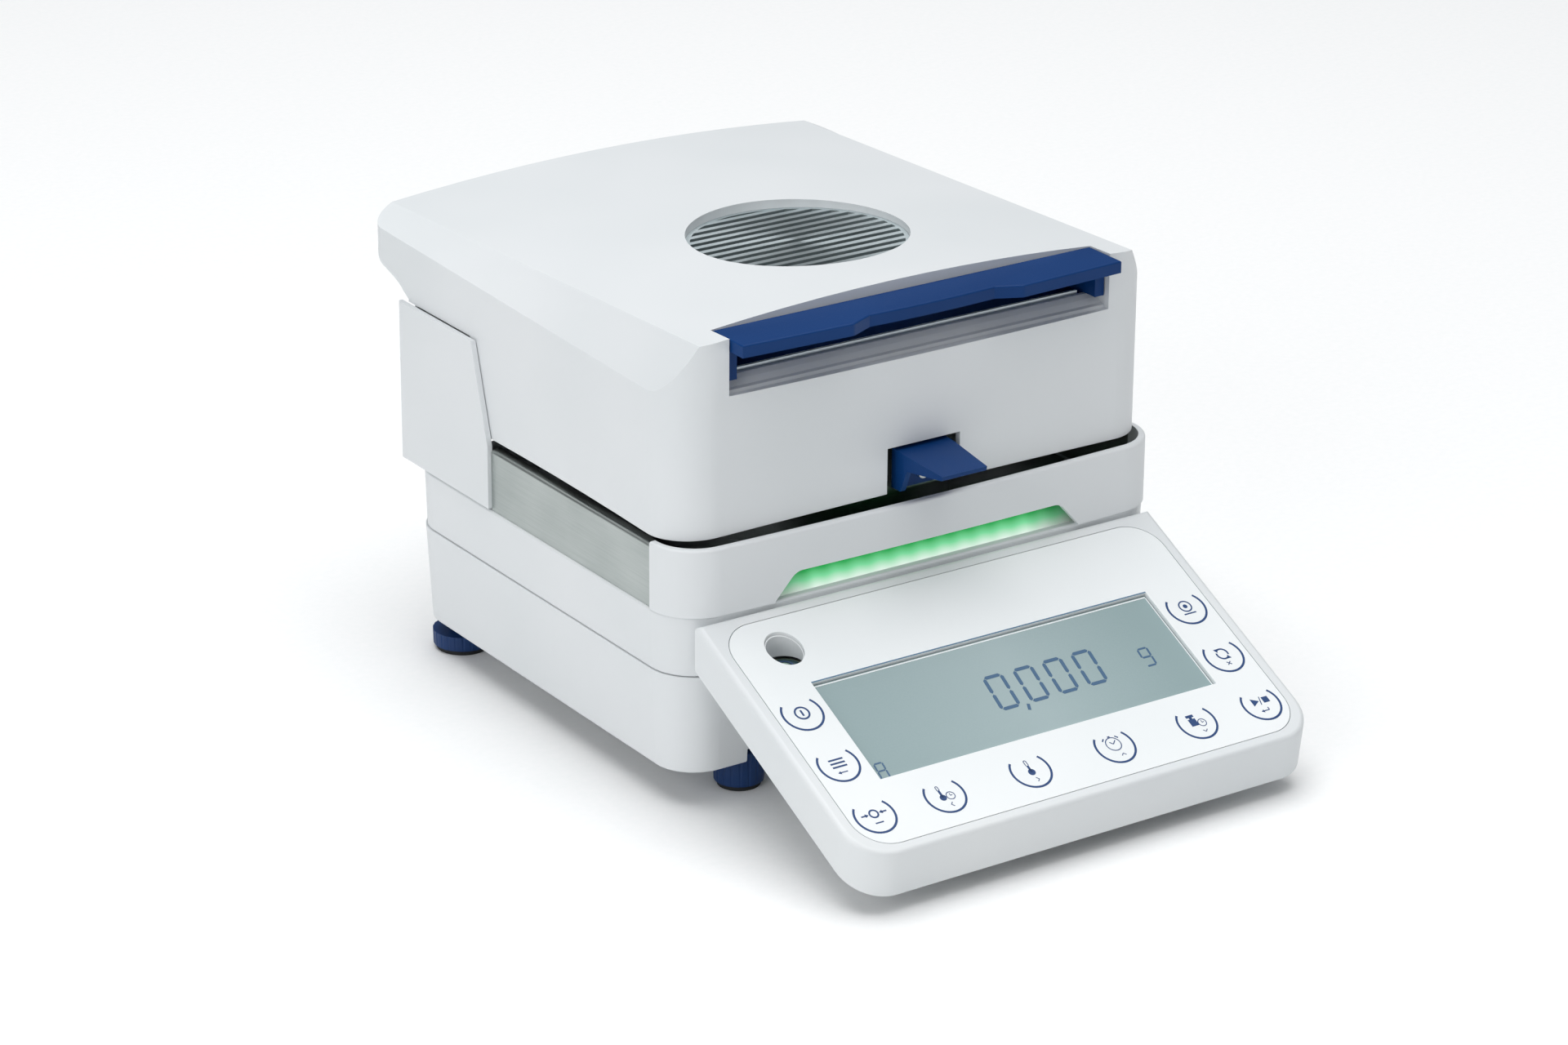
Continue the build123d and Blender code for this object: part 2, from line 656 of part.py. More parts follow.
# Heater: liner, glass, lamp and reflector hang under the lid's top
liner_low = deck(liner_z)
liner_gap = 0.6            # between the liner and the lid's front wall
liner_side_gap = 0.4
liner_corner = 15.0
liner_front_y = body_y(lid_front + lid_wall + liner_gap)
liner_rear_y = centre_y + glass_radius + 1.0
with BuildPart() as lid_liner:
    with BuildSketch(Plane.XY.offset(liner_low)) as liner_plan:
        with Locations((0, (liner_front_y + liner_rear_y) / 2)):
            RectangleRounded(2 * (lid_half_width - lid_wall - liner_side_gap),
                             liner_rear_y - liner_front_y, liner_corner)
        with Locations((0, centre_y)):
            Circle(glass_radius - 3.0, mode=Mode.SUBTRACT)
    extrude(amount=liner_thickness)
    with BuildSketch(Plane.XY.offset(liner_low - 1)):
        with Locations((0, body_y(lid_front))):
            Rectangle(2 * notch_half_width + 6, 20)
    extrude(amount=5, mode=Mode.SUBTRACT)
save(lid_liner, "lid_liner")

glass_low = liner_low + liner_thickness
protective_glass = disc(glass_radius, glass_low, glass_thickness)
save(protective_glass, "protective_glass")

reflector_low = glass_low + glass_thickness + 0.2
reflector_top = reflector_low + reflector_height
with BuildPart() as lamp_reflector:
    with BuildSketch(Plane.XZ.offset(-centre_y)):
        with BuildLine():
            Polyline((reflector_low_radius, glass_low), (reflector_low_radius, reflector_low + 3),
                     (reflector_top_radius, reflector_top), (reflector_top_radius - 8, reflector_top),
                     (reflector_top_radius - 8, reflector_top - reflector_wall),
                     (reflector_top_radius - reflector_wall, reflector_top - reflector_wall),
                     (reflector_low_radius - reflector_wall, reflector_low + 2.6),
                     (reflector_low_radius - reflector_wall, glass_low), close=True)
        make_face()
    revolve(axis=Axis((0, centre_y, 0), (0, 0, 1)))
save(lamp_reflector, "lamp_reflector")

lamp_z = reflector_low + lamp_height
with BuildPart() as halogen_lamp:
    with BuildSketch(Plane.XZ.offset(-centre_y)):
        with Locations((lamp_ring_radius, lamp_z)):
            Circle(lamp_tube_radius)
    revolve(axis=Axis((0, centre_y, 0), (0, 0, 1)))
save(halogen_lamp, "halogen_lamp")

with BuildPart() as lamp_sockets:
    for side in (-1, 1):
        with BuildSketch(Plane.XY.offset(glass_low + glass_thickness)):
            with Locations((side * lamp_ring_radius, centre_y)):
                Rectangle(12, 12)
        extrude(amount=lamp_z - glass_low - glass_thickness + 2)
    with BuildSketch(Plane.XZ.offset(-centre_y)):
        with Locations((lamp_ring_radius, lamp_z)):
            Circle(lamp_tube_radius + 0.2)
    revolve(axis=Axis((0, centre_y, 0), (0, 0, 1)), mode=Mode.SUBTRACT)
save(lamp_sockets, "lamp_sockets")

sensor_y = centre_y - glass_radius - 5
with BuildPart() as temperature_sensor:
    with BuildSketch(Plane.XZ.offset(-sensor_y + 12)):
        with Locations((24, liner_low - 2.2)):
            Circle(1.8)
    extrude(amount=-24)
    with BuildSketch(Plane.XY.offset(liner_low - 2.2)):
        with Locations((24, sensor_y)):
            Rectangle(6, 5)
    extrude(amount=2.2)
save(temperature_sensor, "temperature_sensor")

# Chamber: steel tray on the deck, draught ring, pan support, pan handler and pan
tray_thickness = 1.0
tray_length = 124.0
tray_corner = 12.0
tray_side_gap = 0.6
with BuildPart() as chamber_tray:
    with BuildSketch(Plane.XY.offset(deck_z)):
        with Locations((0, centre_y + 2)):
            RectangleRounded(2 * (plate_half_width - plate_thickness - plate_hem - tray_side_gap),
                             tray_length, tray_corner)
        with Locations((0, centre_y)):
            Circle(post_hole_radius, mode=Mode.SUBTRACT)
    extrude(amount=tray_thickness)
save(chamber_tray, "chamber_tray")

ring_low = deck_z + tray_thickness
handler_low = deck(handler_z)
draught_ring = disc(draught_radius, ring_low, handler_low - seat_gap - ring_low, hole=draught_radius - draught_wall)
save(draught_ring, "draught_ring")

handler_reach = 7.2        # front end of the arm behind the front plane
with BuildPart() as pan_handler:
    with BuildSketch(Plane.XY.offset(handler_low)):
        with Locations((0, centre_y)):
            Circle(handler_radius)
        with Locations((0, (body_y(handler_reach) + centre_y - handler_hole_radius) / 2)):
            Rectangle(2 * arm_half_width, centre_y - handler_hole_radius - body_y(handler_reach))
        with Locations((0, centre_y)):
            Circle(handler_hole_radius, mode=Mode.SUBTRACT)
    extrude(amount=handler_thickness)
save(pan_handler, "pan_handler")

# Grip of the handler: an upright plate behind the notch and a sloping finger plate with side webs
grip_rear_y = body_y(7.0)
grip_half_rear = 11.2
grip_half_front = 9.6
grip_top_z = 43.6
grip_front_z = 41.2
grip_reach = 21.0
upright_thickness = 2.5
grip_screw_height = 33.0
plate_rear = 2.6
grip_low = handler_low + handler_thickness
with BuildPart() as handler_grip:
    with BuildSketch(Plane.YZ.offset(-grip_half_rear)):
        with BuildLine():
            Polyline((grip_rear_y, grip_low), (grip_rear_y, deck(grip_top_z)),
                     (body_y(-grip_reach), deck(grip_front_z)),
                     (body_y(-grip_reach + 0.4), deck(grip_front_z - 1.6)),
                     (body_y(-2.0), deck(grip_top_z - 6.4)), (body_y(1.6), grip_low), close=True)
        make_face()
    extrude(amount=2 * grip_half_rear)
    with BuildSketch(Plane.XY.offset(grip_low - 1)):
        with BuildLine():
            Polyline((-grip_half_rear, grip_rear_y + 1), (grip_half_rear, grip_rear_y + 1),
                     (grip_half_rear, body_y(0)), (grip_half_front, body_y(-grip_reach)),
                     (-grip_half_front, body_y(-grip_reach)), (-grip_half_rear, body_y(0)), close=True)
        make_face()
    extrude(amount=40, mode=Mode.INTERSECT)
    with BuildSketch(Plane.YZ.offset(-grip_half_rear + 2.2)):
        with BuildLine():
            Polyline((grip_rear_y - upright_thickness, grip_low - 1),
                     (grip_rear_y - upright_thickness, deck(grip_top_z - plate_rear)),
                     (body_y(-grip_reach + 4), deck(grip_front_z - 2.0)),
                     (body_y(-grip_reach), deck(grip_front_z - 6)), (body_y(-6), grip_low - 1), close=True)
        make_face()
    extrude(amount=2 * grip_half_rear - 4.4, mode=Mode.SUBTRACT)
    with BuildSketch(Plane.XZ.offset(-grip_rear_y - 5)):
        with Locations((0, deck(grip_screw_height))):
            Circle(1.2)
    extrude(amount=10, mode=Mode.SUBTRACT)
save(handler_grip, "handler_grip")

head_radius = 2.2
with BuildPart() as grip_screws:
    with BuildSketch(Plane.XZ.offset(-(grip_rear_y - upright_thickness))):
        with Locations((0, deck(grip_screw_height))):
            Circle(head_radius)
    extrude(amount=1.4)
    with BuildSketch(Plane.XZ.offset(-(grip_rear_y - upright_thickness))):
        with Locations((0, deck(grip_screw_height))):
            Circle(1.15)
    extrude(amount=-upright_thickness + 0.1)
    with BuildSketch(Plane.XZ.offset(-(grip_rear_y - upright_thickness - 1.4))):
        with Locations((0, deck(grip_screw_height))):
            RegularPolygon(1.0, 6)
    extrude(amount=-0.9, mode=Mode.SUBTRACT)
save(grip_screws, "grip_screws")

arm_low = deck(pan_rim_z - pan_depth - support_arm_thickness)
cell_top = cell_z + cell_height
with BuildPart() as pan_support:
    with BuildSketch(Plane.XY.offset(arm_low)):
        with Locations((0, centre_y)):
            Circle(8.0)
            with PolarLocations(support_arm_radius / 2, 3, start_angle=90):
                Rectangle(support_arm_radius, support_arm_width)
    extrude(amount=support_arm_thickness)
    with BuildSketch(Plane.XY.offset(cell_top - 6)):
        with Locations((0, centre_y)):
            Circle(support_post_radius)
    extrude(amount=arm_low - cell_top + 6)
save(pan_support, "pan_support")

pan_low = arm_low + support_arm_thickness + seat_gap
with BuildPart() as sample_pan:
    with BuildSketch(Plane.XZ.offset(-centre_y)):
        with BuildLine():
            Polyline((0, pan_low), (pan_dish_radius, pan_low),
                     (pan_dish_radius + pan_flare, pan_low + pan_depth),
                     (pan_radius, pan_low + pan_depth), (pan_radius, pan_low + pan_depth + pan_sheet),
                     (pan_dish_radius + pan_flare - pan_sheet, pan_low + pan_depth + pan_sheet),
                     (pan_dish_radius - pan_sheet, pan_low + pan_sheet), (0, pan_low + pan_sheet), close=True)
        make_face()
    revolve(axis=Axis((0, centre_y, 0), (0, 0, 1)))
save(sample_pan, "sample_pan")

# Hinge: a steel plate between each cheek and the lid, with a pin into the lid's boss
plate_outer = cover_half_width - cover_wall - 0.1
pin_reach = hinge_recess + lid_wall + 3
for side, side_name in ((-1, "left"), (1, "right")):
    with BuildPart() as hinge_plate:
        with BuildSketch(Plane.YZ.offset(side * plate_outer)):
            with BuildLine():
                ear = hinge_ear_radius
                Polyline((hinge_axis_y - ear, hinge_axis_z), (hinge_axis_y - ear - 14, deck_z),
                         (hinge_axis_y + ear, deck_z), (hinge_axis_y + ear, hinge_axis_z))
                ThreePointArc((hinge_axis_y + ear, hinge_axis_z), (hinge_axis_y, hinge_axis_z + ear),
                              (hinge_axis_y - ear, hinge_axis_z))
            make_face()
        extrude(amount=-side * hinge_plate_thickness)
        with BuildSketch(Plane.YZ.offset(side * plate_outer)):
            with Locations((hinge_axis_y, hinge_axis_z)):
                Circle(hinge_pin_radius)
        extrude(amount=-side * hinge_plate_thickness, mode=Mode.SUBTRACT)
    save(hinge_plate, "hinge_plate_" + side_name)
    with BuildPart() as hinge_pin:
        with BuildSketch(Plane.YZ.offset(side * plate_outer)):
            with Locations((hinge_axis_y, hinge_axis_z)):
                Circle(hinge_pin_radius)
        extrude(amount=-side * (hinge_plate_thickness + pin_reach))
    save(hinge_pin, "hinge_pin_" + side_name)

# Terminal housing: side outline, then the slab outline with rounded corners, hollow from below
slope_y = terminal_length * cos(tilt)
slope_z = terminal_length * sin(tilt)
face_top = deck(-terminal_drop)
drop = terminal_thickness / cos(tilt)
nose_top = (front_y - slope_y, face_top - slope_z)
nose_low_y = front_y - slope_y + terminal_front_lean
nose_low = (nose_low_y, face_top - (front_y - nose_low_y) * tan(tilt) - drop)


def terminal_form(inset, floor_cut):
    """Slab of the terminal, inset by a wall, with its underside lowered by floor_cut."""
    with BuildPart() as form:
        with BuildSketch(Plane.YZ.offset(-terminal_half_width + inset)):
            with BuildLine():
                top_inset = inset / cos(tilt)
                Polyline((front_y - inset, face_top - top_inset - inset * tan(tilt)),
                         (nose_top[0] + inset, nose_top[1] - top_inset + inset * tan(tilt)),
                         (nose_low[0] + inset, nose_low[1] - floor_cut + inset * tan(tilt)),
                         (front_y - inset, face_top - drop - floor_cut - inset * tan(tilt)), close=True)
            make_face()
        extrude(amount=2 * (terminal_half_width - inset))
        front_uprights = form.edges().filter_by(Axis.X, reverse=True).filter_by(
            lambda edge: edge.center().Y < front_y - slope_y + inset + 3)
        fillet(front_uprights, terminal_corner - inset)
    return form.part


slab = face_plane
window_width = 2 * screen_half_width
window_length = screen_end - screen_start
window_middle = -(screen_start + screen_end) / 2
foil_middle = -(foil_start + foil_end) / 2
foil_length = foil_end - foil_start
keys = [("power", -key_column_x, key_rows[0]), ("menu", -key_column_x, key_rows[1]),
        ("tare", -key_column_x, key_rows[2]), ("program_1", key_row_x[0], key_rows[2]),
        ("program_2", key_row_x[1], key_rows[2]), ("program_3", key_row_x[2], key_rows[2]),
        ("program_4", key_row_x[3], key_rows[2]), ("start", key_column_x, key_rows[2]),
        ("refresh", key_column_x, key_rows[1]), ("print", key_column_x, key_rows[0])]
level_top = face_point(level_x, level_start)
bottom_thickness = 2.0
bottom_gap = 0.2

with BuildPart() as terminal_housing:
    add(terminal_form(0.0, 0.0))
    fillet(terminal_housing.faces().sort_by(Axis((0, 0, 0), slab.z_dir))[-1].outer_wire().edges(), 2.0)
    add(terminal_form(terminal_wall + foil_thickness, 20.0), mode=Mode.SUBTRACT)
    with BuildSketch(slab.offset(-foil_thickness)):
        with Locations((0, foil_middle)):
            RectangleRounded(2 * (foil_half_width + 0.3), foil_length + 0.6, foil_corner + 0.3)
    extrude(amount=foil_thickness + 3, mode=Mode.SUBTRACT)
    with BuildSketch(slab.offset(-foil_thickness - terminal_wall - 1)):
        with Locations((0, window_middle)):
            Rectangle(window_width, window_length)
        for name, x, start in keys:
            with Locations((x, -start)):
                Circle(key_radius + 0.4)
    extrude(amount=foil_thickness + terminal_wall + 4, mode=Mode.SUBTRACT)
    with BuildSketch(Plane.XY.offset(level_top.Z - 12)):
        with Locations((level_x, level_top.Y)):
            Circle(level_radius)
    extrude(amount=30, mode=Mode.SUBTRACT)
save(terminal_housing, "terminal_housing")

with BuildPart() as keypad_foil:
    with BuildSketch(slab.offset(-foil_thickness)):
        with Locations((0, foil_middle)):
            RectangleRounded(2 * foil_half_width, foil_length, foil_corner)
        with Locations((0, window_middle)):
            Rectangle(window_width, window_length, mode=Mode.SUBTRACT)
    extrude(amount=foil_thickness)
    with BuildSketch(Plane.XY.offset(level_top.Z - 12)):
        with Locations((level_x, level_top.Y)):
            Circle(level_radius)
    extrude(amount=30, mode=Mode.SUBTRACT)
save(keypad_foil, "keypad_foil")

screen_gap = 0.2
module_depth = 6.0
module_rim = 2.6
wall_depth = foil_thickness + terminal_wall
with BuildPart() as display_module:
    with BuildSketch(slab.offset(-wall_depth - screen_gap - module_depth)):
        with Locations((0, window_middle)):
            Rectangle(window_width + 2 * module_rim, window_length + 2 * module_rim)
    extrude(amount=module_depth)
    with BuildSketch(slab.offset(-wall_depth - screen_gap)):
        with Locations((0, window_middle)):
            Rectangle(window_width - 2 * screen_gap, window_length - 2 * screen_gap)
    extrude(amount=wall_depth + screen_gap - screen_sink)
save(display_module, "display_module")

board_thickness = 1.6
board_depth = wall_depth + 0.1
with BuildPart() as key_board:
    with BuildSketch(slab.offset(-board_depth - board_thickness)):
        with Locations((0, -(screen_start + foil_end - 3) / 2)):
            Rectangle(2 * (foil_half_width - 1.5), foil_end - 3 - screen_start)
        with Locations((0, window_middle)):
            Rectangle(window_width + 2 * module_rim + 1, window_length + 2 * module_rim + 1,
                      mode=Mode.SUBTRACT)
        with Locations((0, -screen_start + 4)):
            Rectangle(window_width + 2 * module_rim + 1, 12, mode=Mode.SUBTRACT)
    extrude(amount=board_thickness)
save(key_board, "key_board")

key_top_depth = foil_thickness + 0.2
key_low_depth = board_depth - key_travel - 0.1
for name, x, start in keys:
    with BuildPart() as key_button:
        with BuildSketch(slab.offset(-key_low_depth)):
            with Locations((x, -start)):
                Circle(key_radius)
        extrude(amount=key_low_depth - key_top_depth)
        fillet(key_button.edges().filter_by(GeomType.CIRCLE).sort_by(Axis((0, 0, 0), slab.z_dir))[-1], 0.6)
    save(key_button, "key_" + name)

inner_gap = terminal_wall + foil_thickness + bottom_gap
bottom_rear = -inner_gap / cos(tilt) - drop * sin(tilt)
bottom_front = -(slope_y - terminal_front_lean - inner_gap - 0.6) / cos(tilt) - drop * sin(tilt)
level_floor = face_top - drop + (level_top.Y - front_y) * tan(tilt)
with BuildPart() as terminal_bottom:
    with BuildSketch(slab.offset(-terminal_thickness)):
        with Locations((0, (bottom_rear + bottom_front) / 2)):
            RectangleRounded(2 * (terminal_half_width - inner_gap), bottom_rear - bottom_front,
                             terminal_corner - terminal_wall)
    extrude(amount=bottom_thickness)
    with BuildSketch(Plane.XY.offset(level_floor + 1.0)):
        with Locations((level_x, level_top.Y)):
            Circle(level_radius + 1.5)
    extrude(amount=5.0)
save(terminal_bottom, "terminal_bottom")

vial_radius = level_radius - 0.6
vial_low = level_floor + 6.0
vial_height = 5.0
level_vial = disc(vial_radius, vial_low, vial_height, x=level_x, y=level_top.Y)
save(level_vial, "level_vial")

# Inside the casing: load cell on its pedestal, main board, power supply, inlet and port
with BuildPart() as load_cell:
    with BuildSketch(Plane.YZ.offset(-cell_half_width)):
        with Locations((cell_front_y + cell_length / 2, cell_z + cell_height / 2)):
            Rectangle(cell_length, cell_height)
            with Locations((-12, 0), (12, 0)):
                Circle(7.5, mode=Mode.SUBTRACT)
            Rectangle(24, 5, mode=Mode.SUBTRACT)
    extrude(amount=2 * cell_half_width)
    with BuildSketch(Plane.XY.offset(cell_top - 8)):
        with Locations((0, centre_y)):
            Circle(support_post_radius + running_gap)
    extrude(amount=10, mode=Mode.SUBTRACT)
save(load_cell, "load_cell")

floor_top = floor_z + floor_thickness
main_board_y = body_y(92)
main_board_x = -56.0
main_board_width = 66.0
main_board_length = 110.0
main_board_lift = 4.0
supply_x = 56.0
supply_y = body_y(108)
supply_width = 58.0
supply_length = 90.0
supply_height = 36.0
with BuildPart() as main_board:
    with BuildSketch(Plane.XY.offset(floor_top + main_board_lift)):
        with Locations((main_board_x, main_board_y)):
            Rectangle(main_board_width, main_board_length)
    extrude(amount=board_thickness)
    with BuildSketch(Plane.XY.offset(floor_top)):
        with Locations((main_board_x, main_board_y)):
            with GridLocations(main_board_width - 10, main_board_length - 10, 2, 2):
                Circle(3.0)
    extrude(amount=main_board_lift)
    for x, y, wide, long, high in ((-10, -26, 14, 14, 2.0), (12, -6, 10, 22, 8.0), (-4, 26, 20, 12, 6.0)):
        with BuildSketch(Plane.XY.offset(floor_top + main_board_lift + board_thickness)):
            with Locations((main_board_x + x, main_board_y + y)):
                Rectangle(wide, long)
        extrude(amount=high)
save(main_board, "main_board")

with BuildPart() as power_supply:
    with BuildSketch(Plane.XY.offset(floor_top)):
        with Locations((supply_x, supply_y)):
            Rectangle(supply_width, supply_length)
    extrude(amount=supply_height)
    with BuildSketch(Plane.XY.offset(floor_top + supply_height)):
        with Locations((supply_x, supply_y)):
            with GridLocations(8, 8, 5, 8):
                Circle(2.2)
    extrude(amount=-1.2, mode=Mode.SUBTRACT)
    fillet(power_supply.edges().filter_by(Axis.Z), 2.0)
save(power_supply, "power_supply")

flange = 3.0
socket_set = 2.1           # the rear wall leans in, so the flanges stand this far inside it
with BuildPart() as power_inlet:
    with BuildSketch(Plane.XZ.offset(-casing_rear_y + casing_wall + socket_set)):
        with Locations((inlet_x, inlet_z)):
            Rectangle(inlet_width + 2 * flange, inlet_height + flange)
    extrude(amount=1.6)
    with BuildSketch(Plane.XZ.offset(-casing_rear_y + casing_wall + socket_set)):
        with Locations((inlet_x, inlet_z)):
            Rectangle(inlet_width - 0.4, inlet_height - 0.4)
    extrude(amount=-(casing_wall + socket_set - 1.6))
    with BuildSketch(Plane.XZ.offset(-casing_rear_y + casing_wall + socket_set + 1.6)):
        with Locations((inlet_x, inlet_z)):
            Rectangle(inlet_width - 1, inlet_height - 1)
    extrude(amount=16)
    with BuildSketch(Plane.XZ.offset(-casing_rear_y)):
        with Locations((inlet_x, inlet_z)):
            Rectangle(24.0, 16.2)
    extrude(amount=17, mode=Mode.SUBTRACT)
    with BuildSketch(Plane.XZ.offset(-casing_rear_y + 17)):
        with Locations((inlet_x - 7, inlet_z - 1), (inlet_x, inlet_z + 2), (inlet_x + 7, inlet_z - 1)):
            Rectangle(2.0, 4.0)
    extrude(amount=-12)
save(power_inlet, "power_inlet")

with BuildPart() as serial_port:
    with BuildSketch(Plane.XZ.offset(-casing_rear_y + casing_wall + socket_set)):
        with Locations((port_x, inlet_z)):
            Rectangle(port_width + 4, port_height + 4)
    extrude(amount=6)
    with BuildSketch(Plane.XZ.offset(-casing_rear_y + casing_wall + socket_set)):
        with Locations((port_x, inlet_z)):
            RectangleRounded(18, 9, 3)
            RectangleRounded(17, 8, 2.6, mode=Mode.SUBTRACT)
    extrude(amount=-2.2)
save(serial_port, "serial_port")

# Casing screws in the floor
screw_spacing_x = 120.0
screw_spacing_y = 100.0
screw_head_height = 2.4
with BuildPart() as casing_screws:
    with BuildSketch(Plane.XY.offset(floor_z - screw_head_height)):
        with Locations((0, centre_y)):
            with GridLocations(screw_spacing_x, screw_spacing_y, 2, 2):
                Circle(3.0)
    extrude(amount=screw_head_height)
save(casing_screws, "casing_screws")

# Feet: threaded insert in the floor, ribbed knob with its stud, and a rubber pad
with BuildPart() as foot_inserts:
    with BuildSketch(Plane.XY.offset(insert_low)):
        for name, x, y, radius, height in feet:
            with Locations((x, y)):
                Circle(insert_radius)
                Circle(stud_radius + running_gap, mode=Mode.SUBTRACT)
    extrude(amount=insert_height)
save(foot_inserts, "foot_inserts")

for name, x, y, radius, height in feet:
    ribs = 18 if radius < 10 else 24
    with BuildPart() as foot_knob:
        with BuildSketch(Plane.XY.offset(pad_height)):
            with Locations((x, y)):
                Circle(radius - 0.4)
        extrude(amount=height - pad_height, taper=-1.5)
        with BuildSketch(Plane.XY.offset(pad_height - 1)):
            with Locations((x, y)):
                with PolarLocations(radius + foot_rib_depth, ribs):
                    Circle(2 * foot_rib_depth)
        extrude(amount=height, mode=Mode.SUBTRACT)
        with BuildSketch(Plane.XY.offset(height)):
            with Locations((x, y)):
                Circle(5.0)
        extrude(amount=insert_low - seat_gap - height)
        with BuildSketch(Plane.XY.offset(insert_low - seat_gap)):
            with Locations((x, y)):
                Circle(stud_radius)
        extrude(amount=insert_height - 1)
    save(foot_knob, "foot_knob_" + name)
    foot_pad = disc(radius - pad_inset, 0.0, pad_height - 0.02, x=x, y=y)
    save(foot_pad, "foot_pad_" + name)
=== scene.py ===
import bmesh
import bpy
import math
from mathutils import Matrix, Vector


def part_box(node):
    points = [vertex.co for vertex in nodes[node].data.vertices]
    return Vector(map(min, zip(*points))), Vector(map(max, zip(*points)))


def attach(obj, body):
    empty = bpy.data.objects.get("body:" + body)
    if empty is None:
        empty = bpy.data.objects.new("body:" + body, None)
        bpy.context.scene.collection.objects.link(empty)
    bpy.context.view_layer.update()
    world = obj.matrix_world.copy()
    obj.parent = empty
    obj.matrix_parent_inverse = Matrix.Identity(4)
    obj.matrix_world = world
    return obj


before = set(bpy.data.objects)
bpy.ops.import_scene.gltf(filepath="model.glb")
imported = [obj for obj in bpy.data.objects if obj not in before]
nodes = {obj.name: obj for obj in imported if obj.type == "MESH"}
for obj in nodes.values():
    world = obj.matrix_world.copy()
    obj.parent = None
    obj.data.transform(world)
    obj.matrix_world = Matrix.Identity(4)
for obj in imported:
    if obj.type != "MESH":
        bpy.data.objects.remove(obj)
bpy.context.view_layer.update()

# Moisture analyzer: a drying balance with a hinged heater lid and a sloping terminal.
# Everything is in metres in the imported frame: front towards -Y, +Z up, table at z = 0.
mm = 0.001

# The camera stands where the photograph was taken from, so its picture lines up with it.
cameraPlace = {
    "lens": 112.106,
    "sensor": 36.0,
    "shift": (-0.01592, -0.00467),
    "location": (-0.935608, -1.344305, 0.738414),
    "turn": (67.8606, -0.4889, -34.2767),
}


def placeCamera(place):
    data = bpy.data.cameras.new("photoCamera")
    data.lens = place["lens"]
    data.sensor_width = place["sensor"]
    data.shift_x, data.shift_y = place["shift"]
    data.clip_start = 0.05
    data.clip_end = 60.0
    camera = bpy.data.objects.new("photoCamera", data)
    camera.location = place["location"]
    camera.rotation_euler = [math.radians(angle) for angle in place["turn"]]
    bpy.context.scene.collection.objects.link(camera)
    bpy.context.scene.camera = camera


placeCamera(cameraPlace)
bpy.context.scene.view_settings.view_transform = "Standard"  # colours as picked, whites stay white
print("camera placed")


# Materials: procedural, on object coordinates, pattern sizes in millimetres
def linearColour(code):
    parts = [int(code[i:i + 2], 16) / 255 for i in (1, 3, 5)]
    return [p / 12.92 if p <= 0.04045 else ((p + 0.055) / 1.055) ** 2.4 for p in parts] + [1.0]


def addNode(tree, kind, settings=None, links=None):
    made = tree.nodes.new(kind)
    for key, value in (settings or {}).items():
        if isinstance(key, int) or key in made.inputs:
            made.inputs[key].default_value = value
        else:
            setattr(made, key, value)
    for socket, source in (links or {}).items():
        tree.links.new(source, made.inputs[socket])
    return made


def startMaterial(name, settings):
    material = bpy.data.materials.new(name)
    material.use_nodes = True
    tree = material.node_tree
    tree.nodes.clear()
    shader = addNode(tree, "ShaderNodeBsdfPrincipled", settings)
    addNode(tree, "ShaderNodeOutputMaterial", links={"Surface": shader.outputs["BSDF"]})
    place = addNode(tree, "ShaderNodeTexCoord").outputs["Object"]
    return material, tree, shader, place


def fitRamp(ramp, stops):
    marks = ramp.color_ramp.elements
    while len(marks) < len(stops):
        marks.new(0.5)
    for mark, (position, code) in zip(marks, stops):
        mark.position = position
        mark.color = linearColour(code)
    return ramp


def mouldedPlastic(name, look):
    # Injection-moulded plastic from a spark-eroded tool: a fine grain that breaks up the
    # highlight, and a very faint drift of colour over the width of a hand.
    material, tree, shader, place = startMaterial(name, {
        "IOR": look.get("ior", 1.53),
        "Specular IOR Level": look.get("specular", 0.5),
    })
    grain = addNode(tree, "ShaderNodeTexNoise",
                    {"Scale": 1 / (look["grain"] * mm), "Detail": 2.0, "Roughness": 0.6},
                    {"Vector": place})
    drift = addNode(tree, "ShaderNodeTexNoise",
                    {"Scale": 1 / (look["drift"] * mm), "Detail": 1.0}, {"Vector": place})
    colour = fitRamp(addNode(tree, "ShaderNodeValToRGB", links={"Fac": drift.outputs["Fac"]}),
                     ((0.3, look["colour"]), (0.7, look["shade"])))
    gloss = addNode(tree, "ShaderNodeMapRange",
                    {"To Min": look["roughness"] - 0.05, "To Max": look["roughness"] + 0.07},
                    {"Value": grain.outputs["Fac"]})
    bump = addNode(tree, "ShaderNodeBump",
                   {"Strength": look["bump"], "Distance": look["grain"] * mm * 0.12},
                   {"Height": grain.outputs["Fac"]})
    tree.links.new(colour.outputs["Color"], shader.inputs["Base Color"])
    tree.links.new(gloss.outputs["Result"], shader.inputs["Roughness"])
    tree.links.new(bump.outputs["Normal"], shader.inputs["Normal"])
    return material


